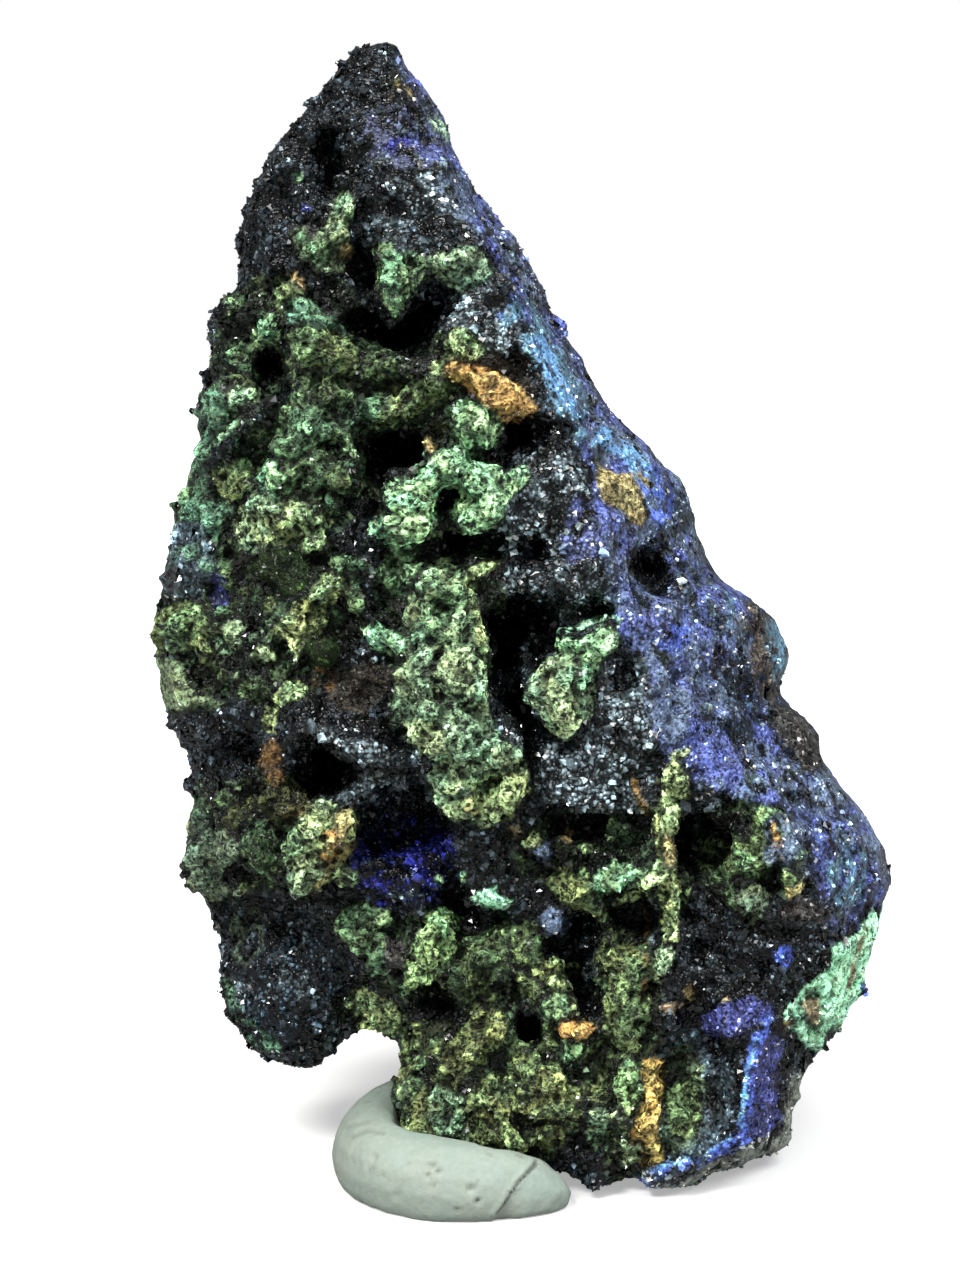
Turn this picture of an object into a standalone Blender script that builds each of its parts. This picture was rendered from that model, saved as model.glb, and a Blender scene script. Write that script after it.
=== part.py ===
"""Azurite and malachite specimen, standing in a ring of mineral putty.

Two pieces: the stone, which grew as one solid, and the rolled putty ring that holds it upright.
Sizes are in millimetres until the meshes are made. +X is right, +Y is back, +Z is up.

The stone is drawn on its middle plane (y = 0) as it looks from EYE: h is the distance to the
right, z the height. Every feature is then pushed along its own line of sight to its depth.
"""
import math

import bmesh
import bpy
from mathutils import Matrix, Vector

MM = 0.001

# ---------------------------------------------------------------- driving dimensions
EYE = Vector((-4.4, -220.0, 82.0))      # where the middle plane is looked at from
RING_SIDES = 48                         # points round each cross-section of the body
VOXEL = 0.62                            # grid that grows the overlapping forms together
PUTTY_VOXEL = 0.45
PRINT_VOXEL = 0.7
STONE_TRIANGLES = 9150
PUTTY_TRIANGLES = 760
CALM_FROM = 3.0                         # depth behind which the stone's surface is calmer
CALM_SHARE = 0.4                        # share of the roughness that is left there
ROUGH_GROUP = "roughness"
FIT_GAP = 0.32                          # between the stone and the putty that it is pressed into
FIT_SWELL = 1.5                         # the gap is measured between facets, so it starts wider
LOBE_RELIEF = 1.35                      # how much the lobes' listed heights are raised
HOLLOW_RELIEF = 1.2                     # how much the hollows' listed depths are deepened
HOLLOW_PROUD = 0.25                     # share of a hollow's depth that its ellipsoid stands out
BACK_HOLLOW_INSET = 0.3
BACK_LOBE_ROOT = 1.0                    # extra half depth that roots a swelling of the back
BALL_SUBDIVISIONS = 3
SMOOTH_BELOW = math.radians(40.0)

# Noise that roughens a surface: kind, size of its grain, height from its lows to its highs.
RAGGED_RIMS = ("CLOUDS", 2.6, 1.3)
SWELLS = ("CLOUDS", 5.0, 1.7)
LUMPS = ("VORONOI", 3.2, -0.9)

# Cross-sections of the body: height, left edge and its depth, ridge and its depth, right edge
# and its depth, back crest and its depth. Depth is behind the middle plane.
SECTIONS = (
    (105.2, -14.2, 0.5, -12.6, -0.6, -11.8, 1.0, -12.8, 2.0),
    (103.5, -15.9, 0.8, -12.5, -2.4, -11.1, 1.6, -13.4, 4.0),
    (100.8, -18.7, 1.0, -11.6, -4.0, -9.4, 2.4, -14.0, 6.0),
    (98.2, -20.5, 1.4, -10.6, -5.2, -7.8, 3.2, -14.2, 7.6),
    (95.8, -22.9, 2.0, -9.4, -6.0, -6.5, 4.0, -14.4, 9.2),
    (91.0, -25.1, 2.6, -7.0, -7.2, -4.6, 5.2, -14.6, 11.6),
    (87.8, -26.2, 3.0, -5.4, -7.8, -1.4, 6.0, -14.4, 13.2),
    (83.0, -26.3, 3.4, -3.0, -8.6, 1.6, 7.0, -14.0, 14.8),
    (80.6, -29.0, 3.8, -1.8, -9.0, 2.3, 7.6, -14.0, 15.6),
    (76.4, -28.5, 4.0, 0.2, -9.6, 5.3, 8.6, -13.2, 16.8),
    (73.2, -30.0, 4.2, 1.4, -10.0, 6.6, 9.2, -12.6, 17.6),
    (69.4, -29.5, 4.4, 3.0, -10.4, 10.6, 10.0, -11.6, 18.4),
    (65.0, -31.4, 4.6, 4.8, -10.8, 14.4, 10.8, -10.4, 19.2),
    (61.0, -32.6, 4.8, 6.2, -11.0, 15.6, 11.4, -9.4, 20.0),
    (57.0, -33.6, 5.0, 7.4, -11.2, 17.3, 12.0, -8.4, 20.8),
    (53.6, -33.6, 5.0, 8.2, -11.4, 22.6, 12.4, -7.4, 21.6),
    (49.8, -33.9, 5.0, 9.0, -11.6, 24.5, 12.8, -6.4, 22.4),
    (45.6, -33.6, 5.0, 10.4, -11.6, 23.5, 13.2, -5.4, 23.2),
    (42.6, -32.6, 5.0, 12.4, -11.4, 27.1, 13.4, -4.6, 23.8),
    (39.6, -31.2, 5.0, 15.4, -11.0, 27.4, 13.4, -3.6, 24.2),
    (36.0, -31.1, 5.0, 19.0, -10.4, 30.8, 13.2, -2.6, 24.4),
    (31.8, -31.8, 5.2, 22.4, -9.6, 33.4, 13.0, -1.4, 24.4),
    (28.6, -31.6, 5.6, 23.6, -9.0, 34.3, 12.8, -0.2, 24.0),
    (26.0, -22.0, 6.0, 23.4, -8.8, 33.8, 12.4, 1.4, 23.4),
    (21.0, -17.6, 6.2, 22.4, -9.0, 32.2, 11.6, 3.6, 22.2),
    (16.7, -15.4, 6.4, 21.6, -9.2, 31.0, 10.6, 5.0, 20.6),
    (13.6, -12.6, 6.4, 21.0, -9.4, 29.4, 9.8, 5.8, 19.2),
    (10.4, -11.6, 6.4, 20.8, -9.4, 26.4, 8.8, 6.2, 17.8),
    (7.0, -12.2, 6.0, 20.6, -9.4, 25.8, 7.0, 6.4, 13.4),
    (4.0, -12.4, 4.6, 20.0, -9.2, 25.4, 4.6, 6.6, 8.2),
    (1.8, -10.8, 1.6, 18.0, -9.0, 23.8, 1.2, 7.0, 3.0),
    (0.2, 2.4, -2.8, 13.0, -8.8, 20.6, -2.6, 9.6, -1.2),
    (-1.5, 6.8, -6.4, 10.4, -8.6, 15.6, -6.6, 10.6, -5.6),
)

# How square each quarter of a cross-section is: 2 is an ellipse, more is squarer.
FRONT_LEFT_SQUARE = 3.6
FRONT_RIGHT_SQUARE = 1.55
BACK_RIGHT_SQUARE = 2.0
BACK_LEFT_SQUARE = 2.4

# Hollows in the front: h, z, half width, half height, depth below the face, lean to the right.
HOLLOWS = (
    (-18.0, 94.6, 1.1, 4.4, 5.5, 6),        # groove beside the peak
    (-15.2, 86.0, 1.2, 4.4, 4.5, 4),
    (-12.0, 79.4, 4.2, 2.2, 9.0, 8),        # upper vug
    (-8.8, 81.4, 1.9, 2.6, 8.0, 14),
    (-23.4, 76.2, 1.9, 1.4, 6.0, -10),
    (-12.0, 68.0, 3.6, 2.6, 10.0, 30),      # middle vug
    (-15.2, 65.6, 1.7, 2.8, 6.0, 10),
    (-0.8, 69.4, 2.7, 1.7, 6.5, 24),
    (-0.6, 76.0, 1.7, 1.3, 2.6, -40),
    (-7.4, 63.4, 0.9, 2.0, 5.0, 0),
    (-5.0, 60.0, 4.4, 1.3, 6.5, 8),
    (0.6, 59.6, 2.0, 1.4, 4.0, 0),
    (-0.6, 52.2, 3.4, 2.8, 11.0, 0),        # deep vug right of the tongue
    (5.4, 53.8, 2.4, 1.2, 6.0, -12),
    (-2.4, 48.4, 1.8, 3.4, 8.0, 0),
    (-0.8, 44.2, 1.8, 3.8, 8.0, -14),
    (-13.2, 49.0, 1.3, 3.0, 4.5, 0),
    (-18.6, 38.8, 2.4, 3.2, 7.0, 0),
    (-27.0, 40.2, 2.6, 2.4, 2.8, 20),
    (-11.4, 33.0, 4.6, 5.2, 7.5, -10),      # pocket lined with royal blue
    (-14.8, 31.8, 1.8, 2.4, 5.0, 0),
    (-7.4, 27.4, 1.3, 1.6, 5.0, 0),
    (-4.4, 24.4, 3.4, 1.4, 5.5, 0),
    (3.8, 22.6, 3.4, 2.6, 6.5, 0),
    (10.4, 25.2, 1.8, 1.0, 4.0, 0),
    (5.6, 17.4, 1.6, 3.0, 6.0, 0),
    (0.6, 12.6, 1.5, 2.8, 5.5, 0),
    (-8.6, 16.2, 2.8, 1.4, 5.5, 10),
    (5.6, 33.4, 3.4, 1.2, 3.5, 6),
    (10.8, 38.2, 1.2, 1.6, 4.0, 30),
    (16.2, 32.0, 1.6, 3.4, 7.0, 0),
    (18.6, 30.4, 2.0, 2.6, 4.5, 0),
    (19.4, 35.0, 1.4, 0.9, 3.0, 0),
    (14.8, 24.6, 0.9, 1.6, 4.0, 0),
    (27.6, 21.8, 1.3, 1.8, 3.0, 0),
    (11.6, 58.0, 2.0, 2.3, 5.0, 0),         # pit in the blue flank
    (20.8, 49.6, 1.8, 1.6, 1.6, 0),
    (16.4, 10.6, 3.0, 8.0, 2.4, 4),          # sunken panel between the wall and the blue ridge
    (17.0, 21.0, 2.4, 1.6, 2.4, 0),
    (22.6, 18.0, 1.2, 2.0, 2.0, 0),
    (-22.6, 92.0, 1.3, 1.8, 1.6, 20),
    (-9.2, 96.2, 0.9, 1.2, 2.2, 20),
    (14.6, 48.0, 1.8, 1.4, 1.6, 0),
    (8.6, 47.4, 1.6, 2.4, 2.6, 20),
)

# Lobes on the front: h, z, half width, half height, height above the face, half depth, lean.
LOBES = (
    (-16.8, 90.0, 0.9, 2.1, 1.2, 2.2, 14),      # finger and its cluster
    (-18.6, 87.0, 2.4, 1.7, 2.0, 3.0, 0),
    (-20.4, 87.3, 1.2, 1.2, 1.6, 2.4, 0),
    (-13.1, 86.6, 0.9, 0.9, 1.8, 2.0, 0),
    (-11.9, 85.0, 1.9, 1.7, 2.2, 3.0, 0),       # blade that hangs over the upper vug
    (-12.3, 82.2, 1.2, 2.6, 2.0, 2.6, -6),
    (-6.0, 86.0, 2.6, 1.7, 0.8, 2.4, 10),
    (-21.6, 84.2, 1.3, 1.2, 1.8, 2.4, 0),       # upper left mass
    (-20.4, 82.4, 1.9, 1.6, 2.2, 3.0, -20),
    (-19.4, 79.2, 3.0, 2.8, 3.0, 4.4, -10),
    (-17.6, 76.4, 2.6, 2.8, 2.6, 4.4, 0),
    (-17.4, 73.8, 2.0, 1.8, 2.0, 3.0, 0),
    (-24.4, 80.8, 2.2, 2.0, 1.2, 3.0, 0),
    (-27.2, 80.9, 1.7, 1.1, 0.6, 2.6, 0),
    (-26.0, 73.4, 2.2, 2.4, 1.2, 3.0, 0),
    (-28.0, 70.6, 1.4, 2.6, 0.8, 3.0, 0),
    (-24.9, 71.8, 1.0, 4.4, 1.6, 2.6, 50),      # dark diagonal rib
    (-20.2, 71.6, 3.2, 2.2, 2.6, 3.6, 0),
    (-21.4, 69.4, 2.8, 1.8, 2.4, 3.2, 0),
    (-17.8, 66.4, 2.4, 1.6, 2.0, 3.0, 0),
    (-22.4, 66.9, 1.6, 1.4, 1.8, 2.6, 0),
    (-26.2, 66.8, 2.2, 1.5, 1.2, 2.6, 0),
    (-24.0, 63.4, 1.9, 1.7, 2.4, 3.0, 0),
    (-21.6, 62.6, 2.6, 2.1, 2.6, 3.4, 20),
    (-17.6, 63.4, 1.8, 1.4, 1.6, 2.4, 0),
    (-29.6, 58.2, 3.0, 1.8, 0.8, 3.0, 0),
    (-17.4, 57.4, 2.2, 1.9, 2.4, 3.2, 0),       # band that runs down to the left
    (-19.6, 55.0, 2.1, 1.7, 2.4, 3.0, 0),
    (-22.4, 53.0, 2.2, 1.5, 2.2, 3.0, 0),
    (-27.6, 52.4, 2.6, 1.4, 1.6, 2.8, 0),
    (-24.4, 50.4, 2.0, 1.5, 1.6, 2.8, 0),
    (-31.2, 52.0, 2.2, 2.6, 0.8, 3.4, 0),
    (-31.4, 48.0, 2.0, 2.4, 0.8, 3.4, 0),
    (-29.8, 46.0, 3.4, 1.0, 1.2, 2.6, -8),
    (-26.4, 48.2, 1.9, 1.5, 1.4, 2.6, 0),
    (-22.4, 45.8, 2.8, 1.2, 1.8, 2.6, 55),
    (-13.8, 57.4, 2.4, 1.8, 1.6, 2.8, 0),
    (-13.4, 52.0, 2.3, 1.3, 1.8, 2.6, -20),
    (-15.0, 48.4, 1.3, 1.8, 1.0, 2.0, 0),
    (-18.6, 50.4, 2.0, 1.8, 0.8, 2.4, 0),
    (-10.6, 63.2, 2.7, 2.9, 3.4, 4.2, 0),       # mint lobes round the middle vug
    (-13.6, 60.8, 2.2, 1.4, 2.4, 3.0, 0),
    (-7.6, 67.0, 2.2, 1.4, 3.0, 3.2, 30),
    (-5.0, 71.0, 2.3, 2.9, 3.4, 4.0, 10),
    (-4.0, 64.8, 2.9, 2.3, 3.4, 4.0, 0),
    (-1.4, 66.3, 1.6, 1.0, 2.4, 2.6, 20),
    (-5.2, 62.6, 1.9, 1.3, 2.6, 3.0, 0),
    (-4.4, 75.1, 1.2, 2.6, 2.6, 2.8, -62),      # orange lobe and what it hangs from
    (-1.8, 73.2, 1.3, 1.9, 2.4, 2.8, -40),
    (-6.2, 78.0, 2.1, 1.7, 2.0, 3.0, 30),
    (-9.4, 75.0, 2.6, 2.2, 1.6, 3.0, 0),
    (-12.6, 72.6, 2.4, 1.6, 1.4, 2.8, 0),
    (-13.4, 76.2, 1.9, 1.3, 1.4, 2.6, 0),
    (2.6, 64.2, 2.6, 3.2, 0.8, 3.0, 0),         # dark druse right of the middle
    (1.6, 56.6, 3.2, 1.8, 1.0, 3.0, 0),
    (-8.7, 56.2, 2.3, 2.3, 3.6, 4.4, 0),        # tongue
    (-6.0, 56.0, 1.2, 2.0, 3.4, 3.0, 0),
    (-9.4, 52.4, 2.8, 2.9, 3.8, 4.6, 0),
    (-6.2, 52.2, 1.9, 2.2, 3.8, 4.4, 0),
    (-9.6, 46.8, 3.2, 4.0, 4.2, 5.0, 0),
    (-6.2, 47.6, 2.3, 3.8, 4.2, 5.0, 0),
    (-6.6, 43.0, 3.6, 3.4, 4.4, 5.0, -16),
    (-3.4, 41.4, 2.8, 1.9, 4.2, 4.6, -30),
    (-6.6, 38.2, 2.7, 3.0, 4.2, 4.6, 0),
    (-2.2, 37.6, 2.4, 1.8, 4.0, 4.2, 12),
    (-4.2, 35.9, 2.6, 1.6, 3.8, 4.0, 8),
    (3.6, 51.0, 1.4, 0.8, 3.4, 2.2, 70),        # flag lobe
    (6.6, 51.7, 1.9, 0.9, 3.2, 2.4, 10),
    (3.6, 48.2, 2.5, 1.7, 2.8, 3.4, 0),
    (2.7, 45.8, 2.6, 2.2, 2.8, 3.6, 0),
    (4.2, 43.6, 1.9, 1.6, 2.4, 3.0, 0),
    (6.0, 40.2, 4.4, 2.6, 0.8, 3.0, 8),         # dark shelf below it
    (4.6, 37.2, 3.8, 1.4, 1.6, 3.0, 8),
    (-15.0, 41.8, 3.8, 2.4, 2.2, 3.6, -14),     # sparkling black ledge
    (-20.2, 43.9, 3.2, 1.5, 1.8, 3.0, -60),
    (-11.8, 39.8, 2.6, 1.7, 2.0, 3.0, -24),
    (-28.6, 43.0, 3.4, 2.0, 0.6, 3.4, 0),
    (-23.4, 39.4, 1.5, 2.8, 1.6, 2.8, 0),       # brown and green plates at the lower left
    (-27.6, 35.0, 2.2, 2.2, 1.6, 3.0, 20),
    (-24.6, 35.6, 2.2, 1.8, 1.8, 3.0, 0),
    (-25.2, 32.2, 2.3, 2.4, 2.6, 3.6, 0),
    (-30.2, 30.4, 2.1, 2.8, 1.2, 3.8, 10),
    (-28.9, 27.6, 2.2, 1.6, 1.0, 3.4, 0),
    (-19.2, 33.2, 2.8, 2.6, 3.2, 4.0, 0),
    (-21.0, 29.6, 3.2, 2.2, 3.0, 4.0, -12),
    (-17.2, 29.2, 1.4, 1.3, 2.0, 2.6, 0),
    (-3.6, 31.6, 2.6, 1.6, 0.8, 2.6, 0),
    (1.0, 31.7, 1.5, 1.4, 2.0, 2.4, 0),
    (-3.4, 26.6, 1.9, 0.8, 1.4, 2.0, -8),
    (-15.6, 23.2, 2.3, 2.4, 2.6, 3.6, 0),       # teal, yellow-green and olive lumps
    (-13.4, 20.6, 2.0, 1.9, 2.4, 3.2, 0),
    (-9.0, 23.4, 1.8, 2.0, 2.2, 3.2, 14),
    (-9.4, 20.4, 2.2, 2.2, 2.2, 3.4, 0),
    (-14.8, 15.8, 2.3, 2.2, 2.2, 3.4, 0),
    (-3.4, 21.4, 2.5, 1.7, 1.6, 2.8, 0),
    (-1.8, 18.8, 2.0, 1.4, 1.8, 2.6, 0),
    (-5.4, 18.8, 1.8, 1.5, 1.6, 2.6, 0),
    (0.8, 17.3, 1.5, 1.3, 1.8, 2.2, 0),
    (2.9, 15.9, 1.3, 1.2, 2.0, 2.2, 0),
    (4.3, 13.8, 1.5, 0.9, 2.4, 2.2, 0),
    (2.8, 19.4, 1.1, 1.1, 0.4, 2.4, 0),
    (2.6, 24.6, 1.5, 1.4, 0.6, 2.6, 0),
    (-5.0, 13.2, 3.2, 1.9, 2.0, 3.2, 32),       # foot
    (-3.0, 14.8, 1.9, 1.2, 2.0, 2.4, 0),
    (-7.2, 10.4, 2.8, 1.8, 1.8, 3.0, 20),
    (-9.8, 6.4, 2.6, 2.8, 1.8, 3.6, 0),
    (-8.6, 3.9, 3.4, 1.9, 1.6, 3.2, 0),
    (-4.0, 7.2, 2.5, 2.6, 2.2, 3.4, 0),
    (-3.4, 3.6, 2.6, 1.8, 1.8, 3.0, 0),
    (1.4, 9.2, 2.0, 1.9, 2.6, 3.2, 0),
    (3.0, 6.8, 2.6, 2.3, 2.8, 3.4, 0),
    (1.8, 3.4, 3.2, 1.6, 2.0, 3.0, 0),
    (13.8, 38.4, 1.2, 2.6, 3.4, 4.0, 6),        # upright fin
    (12.8, 34.4, 1.1, 2.6, 3.6, 4.0, 8),
    (12.9, 30.6, 1.4, 2.4, 3.4, 4.0, 0),
    (13.3, 26.4, 1.2, 2.4, 3.0, 3.8, 6),
    (13.2, 22.8, 1.1, 1.6, 2.4, 3.0, 0),
    (8.6, 28.2, 3.2, 1.5, 2.4, 3.0, 12),        # swirl left of the fin
    (5.0, 27.2, 2.6, 1.6, 2.0, 2.8, -14),
    (7.2, 25.2, 1.0, 1.2, 1.8, 2.4, 0),
    (10.9, 30.2, 1.8, 1.7, 2.4, 2.8, 0),
    (9.0, 20.4, 2.0, 2.2, 2.0, 3.2, 0),         # green wall above the lower tip
    (12.6, 20.2, 1.1, 2.2, 2.2, 3.0, 10),
    (9.0, 15.6, 2.1, 3.0, 2.0, 3.2, 0),
    (9.4, 9.6, 2.2, 3.4, 2.2, 3.4, 0),
    (7.2, 5.6, 1.8, 1.7, 2.0, 3.0, 0),
    (9.8, 4.2, 2.2, 3.0, 2.2, 3.2, 0),
    (11.9, 5.6, 0.7, 4.8, 2.4, 2.6, 0),
    (21.8, 33.0, 1.5, 2.6, 2.2, 3.0, 0),        # right lobe and the lumps under it
    (24.6, 31.2, 1.5, 2.8, 2.2, 3.0, -10),
    (24.7, 28.2, 1.3, 1.6, 2.0, 2.6, 0),
    (21.2, 29.9, 1.9, 1.6, 1.4, 2.4, 0),
    (21.4, 26.2, 1.7, 1.9, 1.6, 2.6, 0),
    (18.9, 27.8, 1.6, 1.5, 1.0, 2.4, 0),
    (25.2, 25.4, 2.0, 1.3, 1.2, 2.4, 0),
    (26.4, 22.6, 1.8, 1.3, 1.0, 2.4, 0),
    (31.4, 22.4, 1.6, 3.0, 0.6, 2.6, 12),
    (28.0, 16.6, 2.6, 2.4, 0.7, 2.6, 0),
    (15.2, 5.8, 1.7, 2.6, -0.6, 2.6, 0),
    (15.0, 18.6, 1.1, 1.3, 1.2, 2.0, 0),
    (18.4, 17.0, 1.5, 1.4, 1.0, 2.2, 0),
    (20.0, 22.6, 1.9, 1.5, 1.0, 2.4, 0),
    (19.2, 14.0, 1.8, 1.2, 1.0, 2.2, 20),
    (23.6, 21.0, 1.3, 1.5, 1.0, 2.2, 0),
    (24.0, 15.0, 1.5, 1.2, 0.8, 2.2, 0),
    (12.8, 16.6, 1.2, 1.0, 1.4, 2.0, 0),
    (-19.4, 99.0, 1.2, 0.9, 0.3, 1.6, 30),
    (-14.0, 103.6, 1.6, 1.2, 0.4, 2.0, 40),
    (-21.4, 94.0, 1.6, 2.4, 0.7, 2.2, 20),
    (-23.4, 89.0, 1.7, 2.0, 0.7, 2.2, 10),
    (-14.2, 97.4, 1.8, 1.6, 0.6, 2.2, 0),
    (-12.0, 92.4, 2.4, 2.0, 0.8, 2.6, 0),
)

# Rounded mass that hangs free at the lower left: h, z, depth, and its three half sizes.
HANGING_LOBE = (
    (-22.0, 18.6, 6.0, 6.9, 8.3, 7.0),
    (-24.8, 22.4, 5.6, 4.0, 5.2, 5.6),
    (-18.4, 21.4, 5.6, 4.6, 6.0, 6.2),
    (-25.8, 16.8, 6.4, 3.0, 3.4, 4.6),
    (-27.2, 25.4, 6.0, 2.4, 3.2, 4.6),
    (-21.6, 13.4, 6.6, 4.2, 3.2, 4.8),
)

# Swellings (above zero) and hollows (below zero) on the back: h, z, half sizes, height, lean.
BACK_FORMS = (
    (-13.0, 93.0, 3.6, 6.0, 1.6, 10),
    (-18.5, 82.0, 5.4, 3.4, 1.8, -30),
    (-9.0, 79.0, 4.6, 7.0, 2.2, 30),
    (-3.5, 70.0, 3.4, 6.4, -3.2, 34),
    (-21.0, 70.0, 5.0, 7.0, 2.2, -12),
    (-15.0, 63.5, 5.6, 2.6, -2.6, 24),
    (-5.0, 60.0, 7.0, 4.4, 2.6, 20),
    (7.0, 61.0, 4.0, 6.4, 1.8, 36),
    (-25.5, 54.0, 4.4, 7.0, 2.0, 0),
    (-16.0, 50.5, 3.4, 5.0, -3.6, -16),
    (-7.0, 46.5, 6.4, 4.6, 2.4, -24),
    (6.0, 48.0, 6.6, 5.4, 3.0, 28),
    (17.0, 46.0, 4.4, 5.0, 1.8, 30),
    (14.0, 37.5, 5.6, 2.4, -3.0, 12),
    (-20.0, 38.0, 6.4, 5.6, 2.6, 14),
    (-3.0, 35.0, 5.0, 3.0, -3.0, -36),
    (4.0, 29.0, 8.0, 5.0, 3.0, 14),
    (22.0, 30.0, 6.6, 6.4, 2.2, -20),
    (-12.0, 26.5, 5.0, 4.4, 1.6, 0),
    (14.0, 20.0, 4.6, 3.0, -3.4, 40),
    (24.0, 18.5, 4.4, 6.0, 1.8, 0),
    (-3.0, 16.0, 6.0, 5.4, 2.2, 10),
    (9.5, 13.0, 6.4, 4.0, 2.2, -14),
    (19.0, 9.5, 4.4, 3.4, 1.4, 20),
)

# Centre line of the putty roll on the floor: x, y, radius of the roll at that point.
PUTTY_LINE = (
    (3.8, -9.3, 0.9),
    (1.2, -9.9, 3.0),
    (-2.8, -10.4, 3.7),
    (-7.6, -10.6, 3.9),
    (-12.4, -8.4, 4.1),
    (-14.7, -3.4, 4.1),
    (-14.2, 2.4, 3.9),
    (-12.2, 8.0, 3.8),
    (-8.4, 12.6, 3.6),
    (-2.0, 14.8, 3.5),
    (4.8, 14.0, 3.5),
    (10.0, 10.2, 3.5),
    (12.2, 5.0, 3.1),
    (12.4, 1.8, 1.4),
)
PUTTY_SINK = 0.55                       # share of the radius from the centre line to the floor
PUTTY_HEIGHT = 1.1                      # height of the roll, as a share of its width

PUTTY_LINE_ORDER = 4
PUTTY_LINE_STEPS = 6
PUTTY_BEVEL = 6
FLOOR_BLOCK = (80.0, 80.0, 20.0)

STONE_COLOUR = (0.030, 0.055, 0.075, 1.0)
STONE_ROUGHNESS = 0.55
PUTTY_COLOUR = (0.46, 0.53, 0.50, 1.0)
PUTTY_ROUGHNESS = 0.7


# ---------------------------------------------------------------- scene helpers
def clear_scene():
    """Remove every object that is in the file."""
    for item in list(bpy.data.objects):
        bpy.data.objects.remove(item, do_unlink=True)


def new_collection(name):
    """Make a collection and hang it under the scene's own."""
    collection = bpy.data.collections.new(name)
    bpy.context.scene.collection.children.link(collection)
    return collection


def principled(name, colour, roughness):
    """A plain Principled material."""
    material = bpy.data.materials.new(name)
    material.use_nodes = True
    shader = material.node_tree.nodes["Principled BSDF"]
    shader.inputs["Base Color"].default_value = colour
    shader.inputs["Roughness"].default_value = roughness
    shader.inputs["Metallic"].default_value = 0.0
    material.diffuse_color = colour
    return material


def object_from_bmesh(bm, name, collection):
    """Turn a bmesh, drawn in millimetres, into an object in metres."""
    bmesh.ops.scale(bm, vec=(MM, MM, MM), verts=bm.verts)
    mesh = bpy.data.meshes.new(name)
    bm.to_mesh(mesh)
    bm.free()
    item = bpy.data.objects.new(name, mesh)
    collection.objects.link(item)
    return item


def evaluated_copy(item, name, collection):
    """Make a new object from what an object's modifiers give, and remove the old one."""
    depsgraph = bpy.context.evaluated_depsgraph_get()
    mesh = bpy.data.meshes.new_from_object(item.evaluated_get(depsgraph))
    mesh.name = name
    bpy.data.objects.remove(item, do_unlink=True)
    copy = bpy.data.objects.new(name, mesh)
    collection.objects.link(copy)
    return copy


def add_remesh(item, voxel):
    """Grow overlapping shells together on a grid."""
    remesh = item.modifiers.new("grow_together", "REMESH")
    remesh.mode = "VOXEL"
    remesh.voxel_size = voxel * MM
    remesh.use_smooth_shade = True


def finish(item, material):
    """Give a piece its material, smooth over all but its sharper edges."""
    item.data.materials.clear()
    item.data.materials.append(material)
    item.data.shade_smooth()
    item.data.set_sharp_from_angle(angle=SMOOTH_BELOW)


def as_cutter(item):
    """Show an object as a wire guide only."""
    item.hide_render = True
    item.display_type = "WIRE"


# ---------------------------------------------------------------- the layout
def spot(h, z, depth):
    """Point on the sight line of (h, z) of the middle plane, at a depth behind that plane."""
    on_plane = Vector((h, 0.0, z))
    return EYE + (on_plane - EYE) * ((depth - EYE.y) / -EYE.y)


def section_at(z):
    """Cross-section values at a height, between the two rows that hold it."""
    for upper, lower in zip(SECTIONS, SECTIONS[1:]):
        if z >= lower[0]:
            share = min(1.0, (z - lower[0]) / (upper[0] - lower[0]))
            return [low + (high - low) * share for high, low in zip(upper, lower)]
    return list(SECTIONS[-1])


def front_depth(h, z):
    """Depth of the body's plain front face at (h, z)."""
    _, left, left_depth, ridge, crest, right, right_depth, _, _ = section_at(z)
    if h < ridge:
        edge, edge_depth, square = left, left_depth, FRONT_LEFT_SQUARE
    else:
        edge, edge_depth, square = right, right_depth, FRONT_RIGHT_SQUARE
    across = min(1.0, abs((h - ridge) / (edge - ridge)))
    return edge_depth + (crest - edge_depth) * (1.0 - across ** square) ** (1.0 / square)


def back_depth(h, z):
    """Depth of the body's plain back face at (h, z)."""
    _, left, left_depth, _, _, right, right_depth, back, crest = section_at(z)
    if h < back:
        edge, edge_depth, square = left, left_depth, BACK_LEFT_SQUARE
    else:
        edge, edge_depth, square = right, right_depth, BACK_RIGHT_SQUARE
    across = min(1.0, abs((h - back) / (edge - back)))
    return edge_depth + (crest - edge_depth) * (1.0 - across ** square) ** (1.0 / square)


def quarter(start, end, square, steps, from_side):
    """Points of a quarter of a squarish ellipse; from_side starts it at the side."""
    points = []
    for step in range(steps):
        angle = 0.5 * math.pi * step / steps
        along = math.sin(angle) ** (2.0 / square)
        across = math.cos(angle) ** (2.0 / square)
        if from_side:
            points.append((end[0] + (start[0] - end[0]) * across,
                           start[1] + (end[1] - start[1]) * along))
        else:
            points.append((start[0] + (end[0] - start[0]) * along,
                           end[1] + (start[1] - end[1]) * across))
    return points


def section_ring(row):
    """Closed outline of one cross-section, from the left edge round the front and back."""
    z, left, left_depth, ridge, crest, right, right_depth, back, back_crest = row
    steps = RING_SIDES // 4
    flat = quarter((left, left_depth), (ridge, crest), FRONT_LEFT_SQUARE, steps, True)
    flat += quarter((ridge, crest), (right, right_depth), FRONT_RIGHT_SQUARE, steps, False)
    flat += quarter((right, right_depth), (back, back_crest), BACK_RIGHT_SQUARE, steps, True)
    flat += quarter((back, back_crest), (left, left_depth), BACK_LEFT_SQUARE, steps, False)
    return [spot(h, z, depth) for h, depth in flat]


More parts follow.
